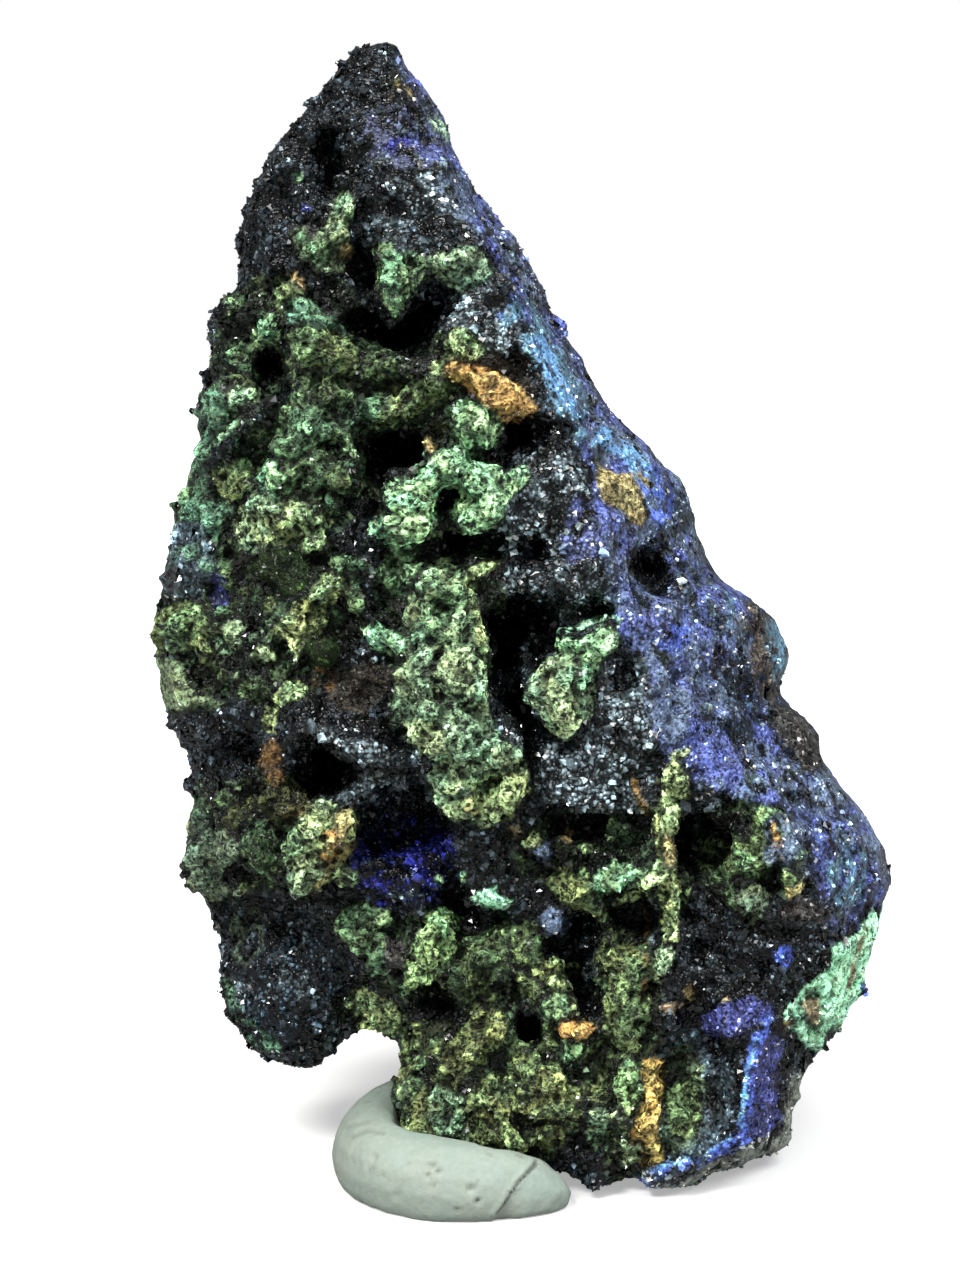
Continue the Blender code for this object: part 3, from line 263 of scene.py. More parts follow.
# Vugs between the forms: the height of the floor of each, less than 0, and its outline.
VUGS = (
    (-2.2, ((-18.7, 98.1), (-17.4, 98.3), (-17.1, 95.6), (-16.8, 91.4), (-17.2, 90.1), (-17.9, 90.5),
        (-18.5, 92.1), (-18.8, 95.1))),
    (-2.0, ((-15.6, 90.8), (-14.5, 91.5), (-14.0, 89.9), (-14.5, 87.3), (-15.3, 87.6), (-15.1, 89.4))),
    (-2.5, ((-16.0, 86.4), (-14.7, 86.7), (-14.0, 85.1), (-13.3, 82.6), (-12.9, 81.2), (-14.2, 81.7),
        (-15.6, 83.7), (-16.5, 85.1))),
    (-4.0, ((-16.8, 80.8), (-16.0, 82.2), (-14.2, 81.7), (-12.8, 80.3), (-11.3, 80.3), (-10.6, 81.9),
        (-8.9, 82.2), (-7.5, 81.2), (-8.0, 79.7), (-9.5, 79.0), (-10.6, 77.6), (-12.0, 77.2), (-13.5, 78.1),
        (-15.3, 78.6), (-16.4, 79.5))),
    (-4.0, ((-25.2, 76.7), (-24.2, 77.6), (-22.6, 77.6), (-21.5, 77.0), (-21.7, 75.9), (-22.3, 74.8),
        (-23.6, 74.3), (-24.8, 74.8))),
    (-3.0, ((-17.3, 64.1), (-16.1, 64.6), (-13.6, 64.1), (-13.8, 62.8), (-15.4, 62.2), (-16.9, 63.0))),
    (-4.0, ((-15.0, 68.5), (-14.5, 70.1), (-11.7, 70.7), (-9.0, 71.0), (-7.7, 70.5), (-8.2, 69.2),
        (-9.2, 68.1), (-10.1, 66.8), (-11.6, 66.1), (-12.8, 65.9), (-13.9, 65.3), (-14.8, 66.6))),
    (-3.0, ((-2.6, 70.8), (-0.4, 71.2), (1.8, 71.6), (3.1, 71.0), (1.3, 69.9), (-0.7, 69.0), (-1.1, 67.9),
        (-2.2, 66.6), (-3.1, 67.5), (-3.9, 68.5), (-2.8, 69.4))),
    (-3.0, ((-8.3, 64.8), (-7.3, 65.3), (-6.4, 65.0), (-6.6, 64.1), (-7.2, 63.3), (-7.0, 61.9),
        (-7.5, 61.3), (-8.3, 62.2))),
    (-3.0, ((-9.6, 59.3), (-9.6, 60.4), (-8.1, 60.7), (-5.3, 60.0), (-5.3, 58.2), (-6.2, 58.0),
        (-7.3, 58.9), (-8.6, 58.7))),
    (-3.0, ((-0.2, 61.1), (1.5, 61.1), (1.7, 58.5), (1.1, 57.8), (0.0, 58.3))),
    (-2.0, ((-17.3, 61.1), (-15.8, 60.7), (-15.3, 59.6), (-16.7, 58.9), (-18.0, 59.6))),
    (-5.0, ((-4.4, 54.1), (-2.6, 53.7), (0.2, 53.1), (3.0, 53.5), (5.8, 54.8), (8.0, 54.6), (8.2, 53.3),
        (6.5, 52.4), (4.7, 51.6), (2.6, 51.6), (2.3, 50.1), (0.2, 48.5), (-1.1, 49.2), (-2.9, 49.0),
        (-3.5, 51.1))),
    (-4.0, ((-1.8, 46.4), (-0.7, 45.5), (0.2, 43.9), (1.2, 42.6), (0.8, 40.5), (-0.1, 41.5), (-1.4, 42.6),
        (-2.5, 43.9))),
    (-2.0, ((6.4, 47.0), (6.9, 47.7), (7.1, 46.4), (6.6, 44.9))),
    (-2.0, ((-17.2, 50.0), (-16.3, 50.5), (-15.9, 49.2), (-16.3, 48.3), (-17.4, 48.5))),
    (-2.0, ((-27.6, 57.4), (-26.5, 58.0), (-25.6, 57.2), (-26.0, 56.1), (-27.1, 56.1))),
    (-3.0, ((-21.2, 40.7), (-19.5, 41.5), (-18.0, 40.9), (-17.3, 39.6), (-16.5, 38.5), (-17.5, 36.7),
        (-19.4, 35.8), (-20.8, 36.9), (-21.4, 38.8))),
    (-3.0, ((-28.6, 29.5), (-26.7, 29.7), (-25.4, 28.9), (-26.0, 28.1), (-27.5, 28.3), (-28.6, 28.3))),
    (-2.5, ((-22.8, 26.4), (-21.3, 26.8), (-19.4, 27.4), (-17.2, 27.4), (-16.4, 26.8), (-18.5, 26.2),
        (-20.2, 25.8), (-21.7, 25.6))),
    (-2.0, ((-22.7, 23.5), (-21.3, 23.7), (-21.0, 22.3), (-22.1, 22.0))),
    (-1.5, ((-24.8, 20.4), (-23.6, 20.6), (-23.5, 18.1), (-24.4, 17.7))),
    (-4.0, ((-8.3, 27.7), (-7.4, 28.2), (-5.9, 27.7), (-5.2, 26.4), (-4.0, 25.1), (-2.5, 25.2),
        (-1.4, 24.9), (-2.5, 23.9), (-4.2, 23.1), (-5.7, 22.5), (-6.3, 23.5), (-6.1, 25.1), (-7.4, 26.0),
        (-8.7, 26.0))),
    (-3.0, ((-11.8, 16.3), (-10.1, 17.3), (-8.2, 18.1), (-7.4, 16.7), (-5.7, 16.1), (-4.6, 15.5),
        (-5.7, 14.8), (-8.2, 14.6), (-10.5, 14.0), (-11.6, 15.1))),
    (-3.0, ((-4.0, 11.2), (-2.5, 11.8), (-1.6, 11.0), (-2.1, 9.8), (-3.5, 10.2))),
    (-2.0, ((-6.5, 8.7), (-5.0, 9.7), (-4.4, 9.1), (-5.7, 7.9), (-6.3, 7.3))),
    (-1.5, ((-1.0, 6.5), (-0.0, 6.5), (0.2, 5.3), (-0.8, 5.1))),
    (-2.0, ((-8.6, 2.7), (-6.7, 3.1), (-4.4, 2.9), (-4.6, 2.1), (-7.3, 2.1))),
    (-3.0, ((4.5, 17.7), (5.8, 18.3), (7.0, 16.3), (7.2, 13.8), (6.6, 12.6), (6.2, 14.2), (4.7, 15.1))),
    (-2.0, ((1.3, 22.1), (2.8, 22.5), (5.0, 22.1), (6.5, 21.4), (6.0, 20.0), (3.7, 20.4), (1.8, 20.6))),
    (-2.5, ((-1.0, 16.9), (0.3, 16.1), (1.3, 14.8), (1.7, 12.8), (0.9, 11.8), (-0.4, 13.8), (-1.4, 15.3))),
    (-3.5, ((13.7, 34.3), (15.2, 35.0), (16.0, 33.5), (16.2, 30.6), (16.1, 28.3), (14.8, 28.5),
        (13.8, 30.1))),
    (-2.5, ((16.1, 27.6), (17.4, 27.7), (18.4, 25.8), (18.9, 24.7), (17.8, 24.7), (16.7, 25.6))),
    (-2.5, ((14.6, 25.6), (15.5, 26.2), (16.1, 24.9), (15.4, 23.3), (14.6, 23.5))),
    (-2.0, ((19.9, 23.7), (21.0, 23.7), (22.7, 24.3), (23.1, 23.7), (21.6, 22.9), (20.3, 22.9))),
    (-2.0, ((27.3, 21.4), (28.4, 22.1), (28.8, 21.0), (27.9, 19.6), (26.9, 20.0))),
    (-3.0, ((1.6, 34.8), (4.0, 35.0), (6.8, 34.8), (7.9, 34.1), (6.5, 33.5), (5.0, 32.7), (3.1, 34.1),
        (1.8, 33.3))),
    (-2.0, ((15.2, 35.4), (18.0, 34.5), (20.7, 34.8), (21.1, 33.7), (19.9, 32.5), (18.3, 32.4),
        (16.2, 33.1))),
    (-1.5, ((2.6, 58.0), (4.8, 57.6), (5.8, 55.9), (4.5, 55.7), (3.0, 56.7))),
    (-2.0, ((3.2, 3.3), (5.1, 3.3), (6.7, 2.5), (7.4, 1.3), (5.1, 0.9), (3.8, 1.9))),
    (-2.0, ((10.2, 35.4), (11.5, 35.6), (11.7, 34.1), (10.6, 34.3))),
    (-3.0, ((9.2, 59.3), (10.4, 59.9), (11.8, 59.6), (13.0, 58.9), (13.7, 57.6), (13.2, 55.9), (11.9, 54.9),
        (10.5, 55.6), (9.4, 57.1))),
    (-2.0, ((-34.9, 55.2), (-33.4, 55.3), (-32.1, 55.1), (-30.6, 54.5), (-31.7, 54.3), (-33.4, 54.6),
        (-34.9, 54.7))),
    (-1.5, ((-9.8, 96.8), (-8.9, 97.2), (-8.4, 96.3), (-8.7, 95.1), (-9.6, 95.4))),
    (-2.0, ((16.5, 12.8), (18.4, 12.2), (19.7, 12.0), (19.1, 10.6), (17.2, 10.8))),
    (-1.5, ((16.9, 8.1), (18.0, 8.3), (18.6, 5.9), (17.5, 5.1), (16.7, 6.5))),
    (-1.5, ((23.0, 16.5), (24.1, 17.7), (24.4, 15.9), (23.6, 14.9))),
    (-2.5, ((-23.9, 44.7), (-23.4, 43.9), (-24.7, 45.5))),
)

# The forms seen on the front: mineral, how far each stands proud, and its outline.
# Later rows cover earlier ones.
FORMS = (
    # grey druse
    ("greydruse", 0.3, ((-0.7, 69.1), (2.9, 68.6), (4.8, 66.8), (5.7, 64.1), (6.7, 58.5), (5.9, 55.0),
        (3.0, 56.7), (1.6, 60.4), (0.2, 60.4), (-1.6, 58.5), (-3.5, 59.9), (-2.6, 62.2), (-1.6, 64.1),
        (-0.2, 65.5))),
    ("greydruse", 0.4, ((6.7, 48.8), (10.4, 50.1), (11.9, 45.5), (11.4, 39.8), (12.6, 36.9), (10.6, 34.8),
        (6.8, 34.8), (3.1, 35.4), (1.2, 36.0), (0.6, 38.8), (1.7, 41.2), (4.0, 41.2), (6.2, 43.4),
        (6.9, 46.4))),
    ("greydruse", 0.2, ((-8.0, 82.2), (-5.3, 83.1), (-2.6, 81.7), (-0.8, 79.5), (0.2, 77.6), (-1.7, 77.2),
        (-3.5, 77.7), (-4.8, 78.6), (-6.4, 79.9), (-7.7, 79.2))),
    # peak
    ("sage", 1.3, ((-17.0, 91.8), (-16.1, 91.6), (-15.7, 90.6), (-15.9, 89.5), (-16.3, 88.6), (-16.1, 87.6),
        (-15.8, 86.6), (-16.2, 85.6), (-17.1, 84.8), (-18.1, 84.7), (-19.2, 84.8), (-20.0, 85.4),
        (-20.8, 86.2), (-21.5, 87.1), (-21.6, 88.0), (-21.0, 88.7), (-20.4, 88.8), (-19.9, 88.1),
        (-19.2, 87.8), (-18.8, 88.4), (-18.4, 89.1), (-17.9, 89.9), (-17.6, 91.0))),
    ("green", 1.0, ((-21.3, 87.9), (-20.7, 88.3), (-20.0, 87.6), (-19.2, 87.2), (-18.4, 87.6),
        (-18.0, 86.7), (-18.2, 85.7), (-19.1, 85.3), (-20.0, 85.8), (-20.8, 86.7))),
    ("ochre", 0.9, ((-17.0, 87.0), (-16.1, 87.2), (-15.7, 86.5), (-16.3, 85.7), (-17.0, 86.0))),
    ("green", 1.3, ((-14.0, 87.2), (-13.2, 87.5), (-12.5, 87.3), (-12.1, 86.7), (-11.3, 86.5),
        (-10.5, 86.7), (-9.6, 86.5), (-9.1, 85.7), (-8.2, 85.8), (-8.4, 84.4), (-9.4, 83.8), (-10.2, 83.4),
        (-10.9, 82.6), (-11.3, 81.5), (-11.8, 80.5), (-12.4, 80.7), (-13.0, 81.4), (-13.3, 82.4),
        (-13.7, 83.5), (-13.8, 84.8), (-13.7, 86.0), (-14.2, 86.5))),
    ("greygrass", 0.9, ((-8.9, 86.2), (-7.3, 86.7), (-5.3, 87.1), (-3.5, 86.2), (-3.1, 84.9), (-4.2, 83.7),
        (-6.0, 83.1), (-7.7, 83.7), (-8.7, 84.8))),
    # upper left
    ("olive", 0.9, ((-23.3, 83.9), (-22.3, 84.8), (-21.4, 84.9), (-20.5, 84.0), (-20.4, 83.1),
        (-21.1, 82.2), (-22.0, 81.2), (-22.4, 79.5), (-22.9, 80.8))),
    ("ochre", 1.0, ((-22.0, 84.6), (-21.3, 84.9), (-20.5, 84.0), (-20.4, 83.3), (-21.1, 83.7))),
    ("teal", 1.0, ((-22.2, 80.1), (-22.0, 81.7), (-21.1, 82.6), (-19.8, 82.4), (-18.6, 81.0), (-16.8, 79.7),
        (-16.0, 78.8), (-18.0, 79.4), (-19.7, 79.7), (-21.3, 79.9))),
    ("olive", 1.2, ((-22.0, 78.8), (-21.5, 79.7), (-20.4, 80.0), (-18.9, 79.7), (-17.3, 79.2),
        (-16.2, 78.8), (-15.7, 77.7), (-15.2, 76.1), (-16.3, 75.0), (-17.3, 75.7), (-18.2, 76.5),
        (-19.7, 76.1), (-20.4, 75.6), (-21.0, 76.8))),
    ("moss", 0.5, ((-20.8, 75.2), (-19.7, 75.9), (-18.2, 76.1), (-17.2, 75.2), (-16.3, 73.9), (-16.8, 72.3),
        (-18.1, 72.8), (-19.6, 73.0), (-20.5, 73.7))),
    ("green", 0.7, ((-25.9, 78.3), (-25.1, 79.2), (-24.2, 80.8), (-23.1, 80.8), (-22.4, 79.4),
        (-22.8, 78.1), (-24.2, 77.7), (-25.5, 77.6))),
    ("teal", 0.6, ((-30.0, 73.2), (-29.4, 74.3), (-28.3, 74.3), (-27.6, 73.0), (-28.2, 71.9),
        (-29.4, 71.9))),
    ("sage", 0.7, ((-27.4, 73.7), (-26.7, 74.7), (-25.4, 74.3), (-24.3, 73.7), (-24.9, 72.7), (-25.9, 73.0),
        (-26.7, 71.7), (-27.4, 72.5))),
    ("green", 1.2, ((-21.9, 73.2), (-21.0, 74.1), (-20.3, 73.2), (-19.0, 72.7), (-17.9, 71.7),
        (-17.2, 70.1), (-17.8, 69.0), (-19.4, 69.2), (-20.9, 67.9), (-22.2, 67.6), (-23.4, 68.5),
        (-24.8, 68.5), (-24.3, 69.6), (-23.4, 70.3), (-23.0, 71.7))),
    ("mint", 0.7, ((-24.8, 66.1), (-24.2, 67.5), (-23.1, 67.4), (-22.2, 66.1), (-22.9, 65.3), (-22.8, 63.9),
        (-23.7, 63.9), (-24.4, 64.8))),
    ("olive", 0.7, ((-29.1, 66.8), (-28.0, 66.8), (-27.1, 67.5), (-25.8, 67.9), (-25.3, 67.0),
        (-25.7, 65.7), (-26.4, 64.1), (-27.5, 63.7), (-28.4, 64.8))),
    ("teal", 0.5, ((-32.1, 63.3), (-31.0, 64.1), (-29.6, 63.8), (-28.3, 63.9), (-27.6, 62.8), (-28.3, 61.9),
        (-30.1, 61.7), (-31.6, 62.2))),
    ("sage", 1.1, ((-27.0, 61.9), (-26.6, 63.3), (-25.5, 64.2), (-24.2, 64.3), (-22.8, 63.7), (-21.3, 60.9),
        (-22.4, 60.7), (-23.0, 59.6), (-24.5, 59.1), (-25.9, 59.6), (-26.7, 60.6))),
    ("lime", 1.2, ((-22.6, 63.7), (-21.7, 64.2), (-20.7, 64.1), (-19.8, 63.0), (-19.1, 62.5), (-17.6, 62.3),
        (-18.6, 61.3), (-18.8, 59.8), (-20.1, 59.1), (-21.0, 59.8), (-21.3, 61.1))),
    ("moss", 0.8, ((-20.9, 65.5), (-20.4, 66.4), (-19.4, 66.8), (-18.3, 67.7), (-16.9, 67.2), (-16.1, 66.3),
        (-16.3, 64.8), (-17.4, 64.2), (-18.5, 65.0), (-19.8, 64.4))),
    # middle
    ("olive", 0.6, ((-12.1, 74.5), (-9.9, 75.2), (-8.0, 75.7), (-7.0, 75.0), (-7.5, 73.6), (-9.0, 72.5),
        (-10.8, 71.4), (-12.6, 70.7), (-14.3, 70.5), (-13.7, 71.6), (-12.4, 72.8))),
    ("moss", 0.4, ((-14.8, 75.7), (-13.9, 76.8), (-12.4, 77.2), (-11.7, 76.3), (-12.1, 75.0), (-13.3, 74.3),
        (-14.6, 74.5))),
    ("lime", 0.9, ((-7.5, 78.3), (-6.4, 79.8), (-5.3, 79.2), (-4.2, 78.1), (-3.7, 77.0), (-5.1, 76.8),
        (-6.2, 76.3), (-7.1, 75.6), (-8.2, 75.4), (-9.3, 75.9), (-8.8, 76.7), (-7.7, 77.0))),
    ("brown", 0.2, ((-4.8, 77.4), (-3.3, 77.2), (-1.7, 76.8), (-0.4, 75.9), (0.7, 74.5), (0.9, 73.2),
        (-0.0, 73.0), (-0.9, 74.1), (-2.0, 75.0), (-3.5, 75.6), (-4.9, 76.3))),
    ("yellow", 1.1, ((-0.4, 73.2), (0.3, 72.3), (-0.7, 71.4), (-2.0, 70.8), (-2.2, 72.0), (-1.3, 72.3))),
    ("mint", 1.5, ((-7.5, 72.7), (-6.2, 73.2), (-4.8, 73.0), (-3.5, 73.0), (-2.6, 72.1), (-2.4, 70.7),
        (-2.8, 69.4), (-4.0, 68.6), (-4.9, 69.4), (-6.4, 69.4), (-7.0, 70.3), (-6.2, 71.4), (-7.3, 71.9))),
    ("orange", 0.7, ((-7.7, 76.3), (-7.0, 76.8), (-6.0, 76.7), (-4.9, 76.3), (-3.9, 76.2), (-2.8, 75.7),
        (-1.7, 75.2), (-0.8, 74.3), (0.3, 73.2), (0.7, 72.3), (-0.2, 71.6), (-1.3, 71.0), (-2.4, 71.4),
        (-3.1, 72.3), (-4.0, 73.0), (-5.1, 73.9), (-6.4, 74.7), (-7.3, 75.4))),
    ("mint", 1.3, ((-5.9, 70.5), (-4.9, 69.2), (-6.2, 68.1), (-7.0, 66.8), (-8.1, 65.9), (-9.3, 66.6),
        (-9.0, 67.9), (-7.7, 69.0))),
    ("mint", 1.6, ((-13.4, 64.4), (-13.2, 65.3), (-12.3, 66.0), (-10.5, 66.0), (-9.5, 67.0), (-8.8, 68.1),
        (-7.9, 69.0), (-6.6, 69.2), (-5.7, 68.5), (-4.0, 67.7), (-2.9, 67.4), (-2.2, 66.4), (-1.3, 66.9),
        (-0.2, 67.2), (0.2, 66.4), (-0.4, 65.3), (-1.5, 64.6), (-2.2, 63.5), (-2.6, 62.2), (-2.9, 61.5),
        (-4.0, 61.3), (-5.0, 60.6), (-5.9, 61.1), (-6.6, 62.2), (-7.2, 63.1), (-6.4, 64.1), (-6.2, 65.1),
        (-7.2, 65.4), (-8.0, 64.7), (-8.4, 63.5), (-8.6, 61.5), (-9.6, 60.6), (-10.7, 59.7), (-12.0, 59.3),
        (-13.1, 59.8), (-14.0, 60.6), (-14.7, 60.9), (-14.3, 62.0), (-13.2, 62.6), (-12.1, 63.0),
        (-13.0, 63.5))),
    ("ochre", 0.8, ((-9.5, 69.7), (-8.8, 70.1), (-8.2, 69.2), (-8.8, 68.5), (-9.5, 68.8))),
    ("green", 0.4, ((-13.2, 58.5), (-12.1, 59.3), (-10.8, 59.1), (-9.9, 58.0), (-10.7, 56.7), (-12.0, 55.7),
        (-13.3, 56.3), (-14.0, 57.4))),
    ("lime", 0.9, ((-5.7, 57.4), (-4.6, 58.3), (-2.7, 58.3), (-3.5, 57.6), (-4.4, 57.2), (-4.8, 56.1),
        (-5.5, 56.7))),
    # tongue
    ("sage", 1.6, ((-9.9, 56.7), (-9.0, 58.0), (-8.1, 58.5), (-7.2, 58.3), (-6.2, 57.6), (-5.2, 56.9),
        (-4.8, 55.6), (-4.4, 53.7), (-3.8, 51.6), (-3.6, 50.1), (-4.0, 48.8), (-3.7, 46.4), (-3.5, 43.9),
        (-2.4, 42.6), (-1.6, 41.1), (-0.5, 40.7), (0.3, 39.0), (0.3, 36.9), (-0.8, 35.8), (-2.2, 34.6),
        (-3.5, 33.1), (-4.8, 33.5), (-5.7, 34.2), (-7.0, 33.9), (-8.1, 35.0), (-9.1, 36.6), (-9.3, 38.1),
        (-8.5, 39.4), (-9.6, 40.2), (-11.1, 41.5), (-12.4, 43.0), (-12.8, 44.9), (-12.2, 46.4),
        (-12.4, 47.9), (-11.6, 49.2), (-11.8, 50.7), (-11.4, 52.9), (-10.9, 54.8))),
    ("lime", 1.9, ((-3.8, 37.1), (-2.7, 38.1), (-1.2, 38.8), (-0.0, 38.4), (0.3, 36.9), (-0.7, 35.8),
        (-2.0, 34.8), (-3.1, 36.0))),
    ("yellow", 1.6, ((-6.3, 35.6), (-5.3, 36.4), (-4.2, 36.0), (-3.8, 34.8), (-5.0, 34.5))),
    ("lime", 1.7, ((-5.9, 57.4), (-5.0, 56.7), (-4.6, 54.6), (-3.8, 51.5), (-3.7, 50.0), (-4.4, 49.4),
        (-5.0, 51.5), (-5.3, 54.3))),
    ("mint", 1.0, ((-15.3, 52.2), (-14.0, 52.8), (-12.7, 52.0), (-11.4, 51.3), (-11.4, 50.1), (-12.2, 49.5),
        (-13.3, 50.1), (-14.4, 50.3))),
    # flag
    ("sage", 1.4, ((1.5, 49.0), (2.6, 49.8), (4.1, 50.0), (5.4, 49.2), (6.0, 47.7), (6.2, 45.5),
        (6.0, 43.9), (5.1, 43.4), (4.5, 42.4), (3.8, 41.4), (2.5, 42.0), (1.6, 42.9), (1.0, 44.2),
        (-0.3, 45.6), (0.2, 47.3))),
    ("mint", 1.9, ((2.5, 50.7), (3.2, 51.4), (4.9, 51.2), (6.1, 51.7), (7.0, 52.6), (7.9, 52.6),
        (8.5, 51.6), (8.4, 50.6), (7.5, 49.6), (6.7, 48.5), (6.0, 47.3), (5.3, 46.2), (4.6, 46.8),
        (5.2, 48.5), (4.7, 50.0), (3.2, 50.0))),
    # flank
    ("ochre", 0.5, ((6.3, 67.5), (7.1, 66.8), (8.3, 66.4), (9.2, 66.6), (10.3, 66.8), (11.2, 66.1),
        (11.0, 64.8), (10.5, 63.9), (10.9, 62.6), (10.5, 61.5), (9.6, 61.9), (8.8, 63.0), (7.7, 63.5),
        (6.8, 64.4), (6.2, 65.7))),
    ("greybrown", 0.7, ((20.7, 54.6), (21.8, 53.7), (23.0, 52.8), (23.9, 51.1), (24.3, 49.2), (23.8, 47.7),
        (22.5, 46.4), (21.8, 48.1), (21.3, 50.1), (20.8, 52.0))),
    ("greybrown", 0.7, ((23.1, 44.9), (24.4, 44.7), (25.7, 43.8), (26.7, 42.6), (27.3, 40.7), (27.1, 39.0),
        (26.0, 38.6), (25.1, 40.2), (23.9, 41.5), (23.0, 43.0))),
    # left edge
    ("mossflat", 0.8, ((-25.4, 58.5), (-24.5, 59.4), (-22.8, 59.6), (-21.2, 59.3), (-20.3, 58.2),
        (-20.1, 56.9), (-21.2, 55.4), (-22.5, 55.0), (-24.0, 56.3), (-25.1, 56.9))),
    ("olive", 0.8, ((-36.0, 52.8), (-32.9, 54.3), (-31.6, 54.8), (-30.3, 54.1), (-29.0, 52.4),
        (-27.9, 51.1), (-27.6, 50.0), (-28.7, 49.6), (-30.3, 50.1), (-32.2, 50.0), (-36.0, 49.5))),
    ("sage", 1.2, ((-29.7, 52.0), (-29.0, 52.8), (-26.6, 52.9), (-26.0, 52.2), (-26.8, 51.3), (-26.3, 50.5),
        (-27.2, 49.7), (-28.3, 50.0), (-29.2, 51.1))),
    ("sageflat", 0.8, ((-36.0, 45.1), (-32.6, 45.8), (-30.4, 45.9), (-28.9, 45.5), (-27.8, 45.2),
        (-28.6, 44.7), (-30.4, 44.6), (-36.0, 44.4))),
    ("sageflat", 0.5, ((-36.0, 49.5), (-32.6, 49.2), (-31.7, 48.5), (-31.5, 47.1), (-30.8, 46.2),
        (-32.6, 45.7), (-36.0, 45.3))),
    ("lime", 1.1, ((-23.8, 52.0), (-22.5, 53.1), (-21.6, 54.4), (-20.5, 55.2), (-19.8, 56.3), (-18.8, 57.4),
        (-17.5, 58.0), (-17.1, 56.7), (-17.5, 54.4), (-18.8, 54.3), (-18.6, 52.4), (-19.4, 51.3),
        (-20.3, 51.4), (-21.1, 50.0), (-21.3, 48.3), (-21.8, 49.8), (-22.5, 51.1), (-23.3, 51.5))),
    ("green", 0.9, ((-18.5, 58.3), (-17.3, 58.9), (-15.5, 58.8), (-14.5, 58.0), (-16.2, 57.5),
        (-17.7, 57.4))),
    ("mossflat", 0.7, ((-20.7, 50.9), (-19.2, 51.6), (-17.7, 51.1), (-17.2, 50.0), (-17.9, 48.6),
        (-19.2, 48.1), (-20.3, 48.8))),
    ("sage", 0.8, ((-25.7, 49.6), (-25.0, 50.5), (-23.8, 50.3), (-23.2, 49.4), (-24.2, 48.8),
        (-25.2, 48.8))),
    ("moss", 0.8, ((-27.1, 46.4), (-25.9, 47.7), (-24.6, 47.7), (-23.7, 46.6), (-24.3, 45.3), (-25.6, 44.9),
        (-26.5, 45.5))),
    ("lime", 1.0, ((-24.7, 43.8), (-24.3, 44.9), (-23.5, 46.0), (-22.4, 47.1), (-21.1, 47.3), (-20.3, 46.4),
        (-21.3, 45.6), (-22.4, 45.3), (-23.1, 43.9), (-23.4, 42.4), (-24.4, 42.6))),
    ("brown", 0.5, ((-19.1, 46.4), (-17.9, 47.7), (-16.3, 48.8), (-14.4, 49.4), (-12.9, 48.5),
        (-12.4, 46.8), (-13.3, 45.3), (-15.0, 44.1), (-16.9, 44.3), (-18.3, 45.3))),
    ("greydruse", 0.8, ((-21.0, 43.4), (-18.4, 42.8), (-17.0, 41.5), (-15.0, 41.9), (-12.6, 41.1),
        (-10.5, 40.5), (-10.0, 39.4), (-11.9, 39.0), (-13.7, 39.2), (-15.6, 39.0), (-16.9, 40.2),
        (-18.0, 41.3), (-19.7, 42.1))),
    # lower left
    ("orangebrown", 0.5, ((-24.7, 41.3), (-23.8, 41.9), (-22.9, 41.1), (-22.9, 39.8), (-23.8, 39.0),
        (-24.5, 40.0))),
    ("olivebrown", 0.9, ((-28.7, 33.5), (-28.0, 35.0), (-26.6, 36.0), (-25.5, 36.7), (-24.6, 38.1),
        (-22.7, 38.5), (-21.2, 37.5), (-19.9, 36.0), (-20.5, 34.5), (-21.6, 33.5), (-22.9, 32.7),
        (-24.2, 33.5), (-25.7, 34.3), (-27.1, 33.1), (-28.2, 32.7))),
    ("greygreen", 0.9, ((-32.3, 30.1), (-31.8, 31.6), (-30.4, 32.2), (-29.5, 33.6), (-28.0, 32.7),
        (-26.9, 31.6), (-26.9, 30.1), (-28.4, 29.5), (-28.6, 28.3), (-27.7, 27.2), (-28.7, 26.3),
        (-30.5, 26.4), (-31.6, 27.7))),
    ("moss", 1.0, ((-26.9, 31.6), (-25.9, 34.1), (-24.9, 34.8), (-23.9, 33.5), (-22.4, 31.8), (-22.8, 30.1),
        (-24.3, 29.9), (-24.3, 28.9), (-22.8, 27.9), (-23.0, 27.4), (-24.7, 27.6), (-25.4, 29.1),
        (-26.5, 29.7))),
    ("sage", 1.5, ((-21.2, 34.8), (-20.1, 35.8), (-18.8, 36.1), (-17.7, 35.4), (-16.6, 35.0), (-15.8, 34.3),
        (-16.3, 32.7), (-16.5, 31.2), (-17.3, 29.5), (-18.5, 28.3), (-19.6, 27.4), (-20.9, 26.6),
        (-22.1, 27.0), (-22.6, 27.9), (-22.5, 29.3), (-23.0, 30.4), (-22.6, 31.8), (-22.1, 32.9),
        (-21.7, 34.1))),
    ("yellow", 1.7, ((-17.9, 34.8), (-16.8, 35.2), (-15.8, 34.4), (-16.3, 32.8), (-16.5, 31.3),
        (-17.2, 30.0), (-18.2, 28.7), (-19.2, 27.7), (-20.4, 27.1), (-19.8, 28.1), (-18.8, 29.3),
        (-18.0, 30.5), (-17.7, 32.0), (-17.9, 33.5))),
    ("orange", 1.6, ((-19.2, 32.7), (-18.2, 33.3), (-17.7, 32.2), (-17.9, 30.6), (-18.7, 29.7),
        (-19.4, 30.4), (-19.6, 31.6))),
    ("sage", 0.8, ((-18.1, 28.9), (-16.6, 29.5), (-15.6, 28.5), (-16.4, 27.7), (-17.5, 27.8))),
    # pocket and below it
    ("mint", 1.2, ((-8.9, 28.5), (-8.2, 29.1), (-7.6, 28.3), (-8.3, 27.7))),
    ("mint", 1.2, ((-6.9, 28.9), (-5.7, 29.2), (-5.9, 28.2))),
    ("mintbright", 1.3, ((-5.2, 26.8), (-4.0, 27.4), (-2.9, 27.7), (-2.5, 26.8), (-1.4, 26.3), (-2.0, 25.7),
        (-3.8, 25.5), (-4.8, 26.0))),
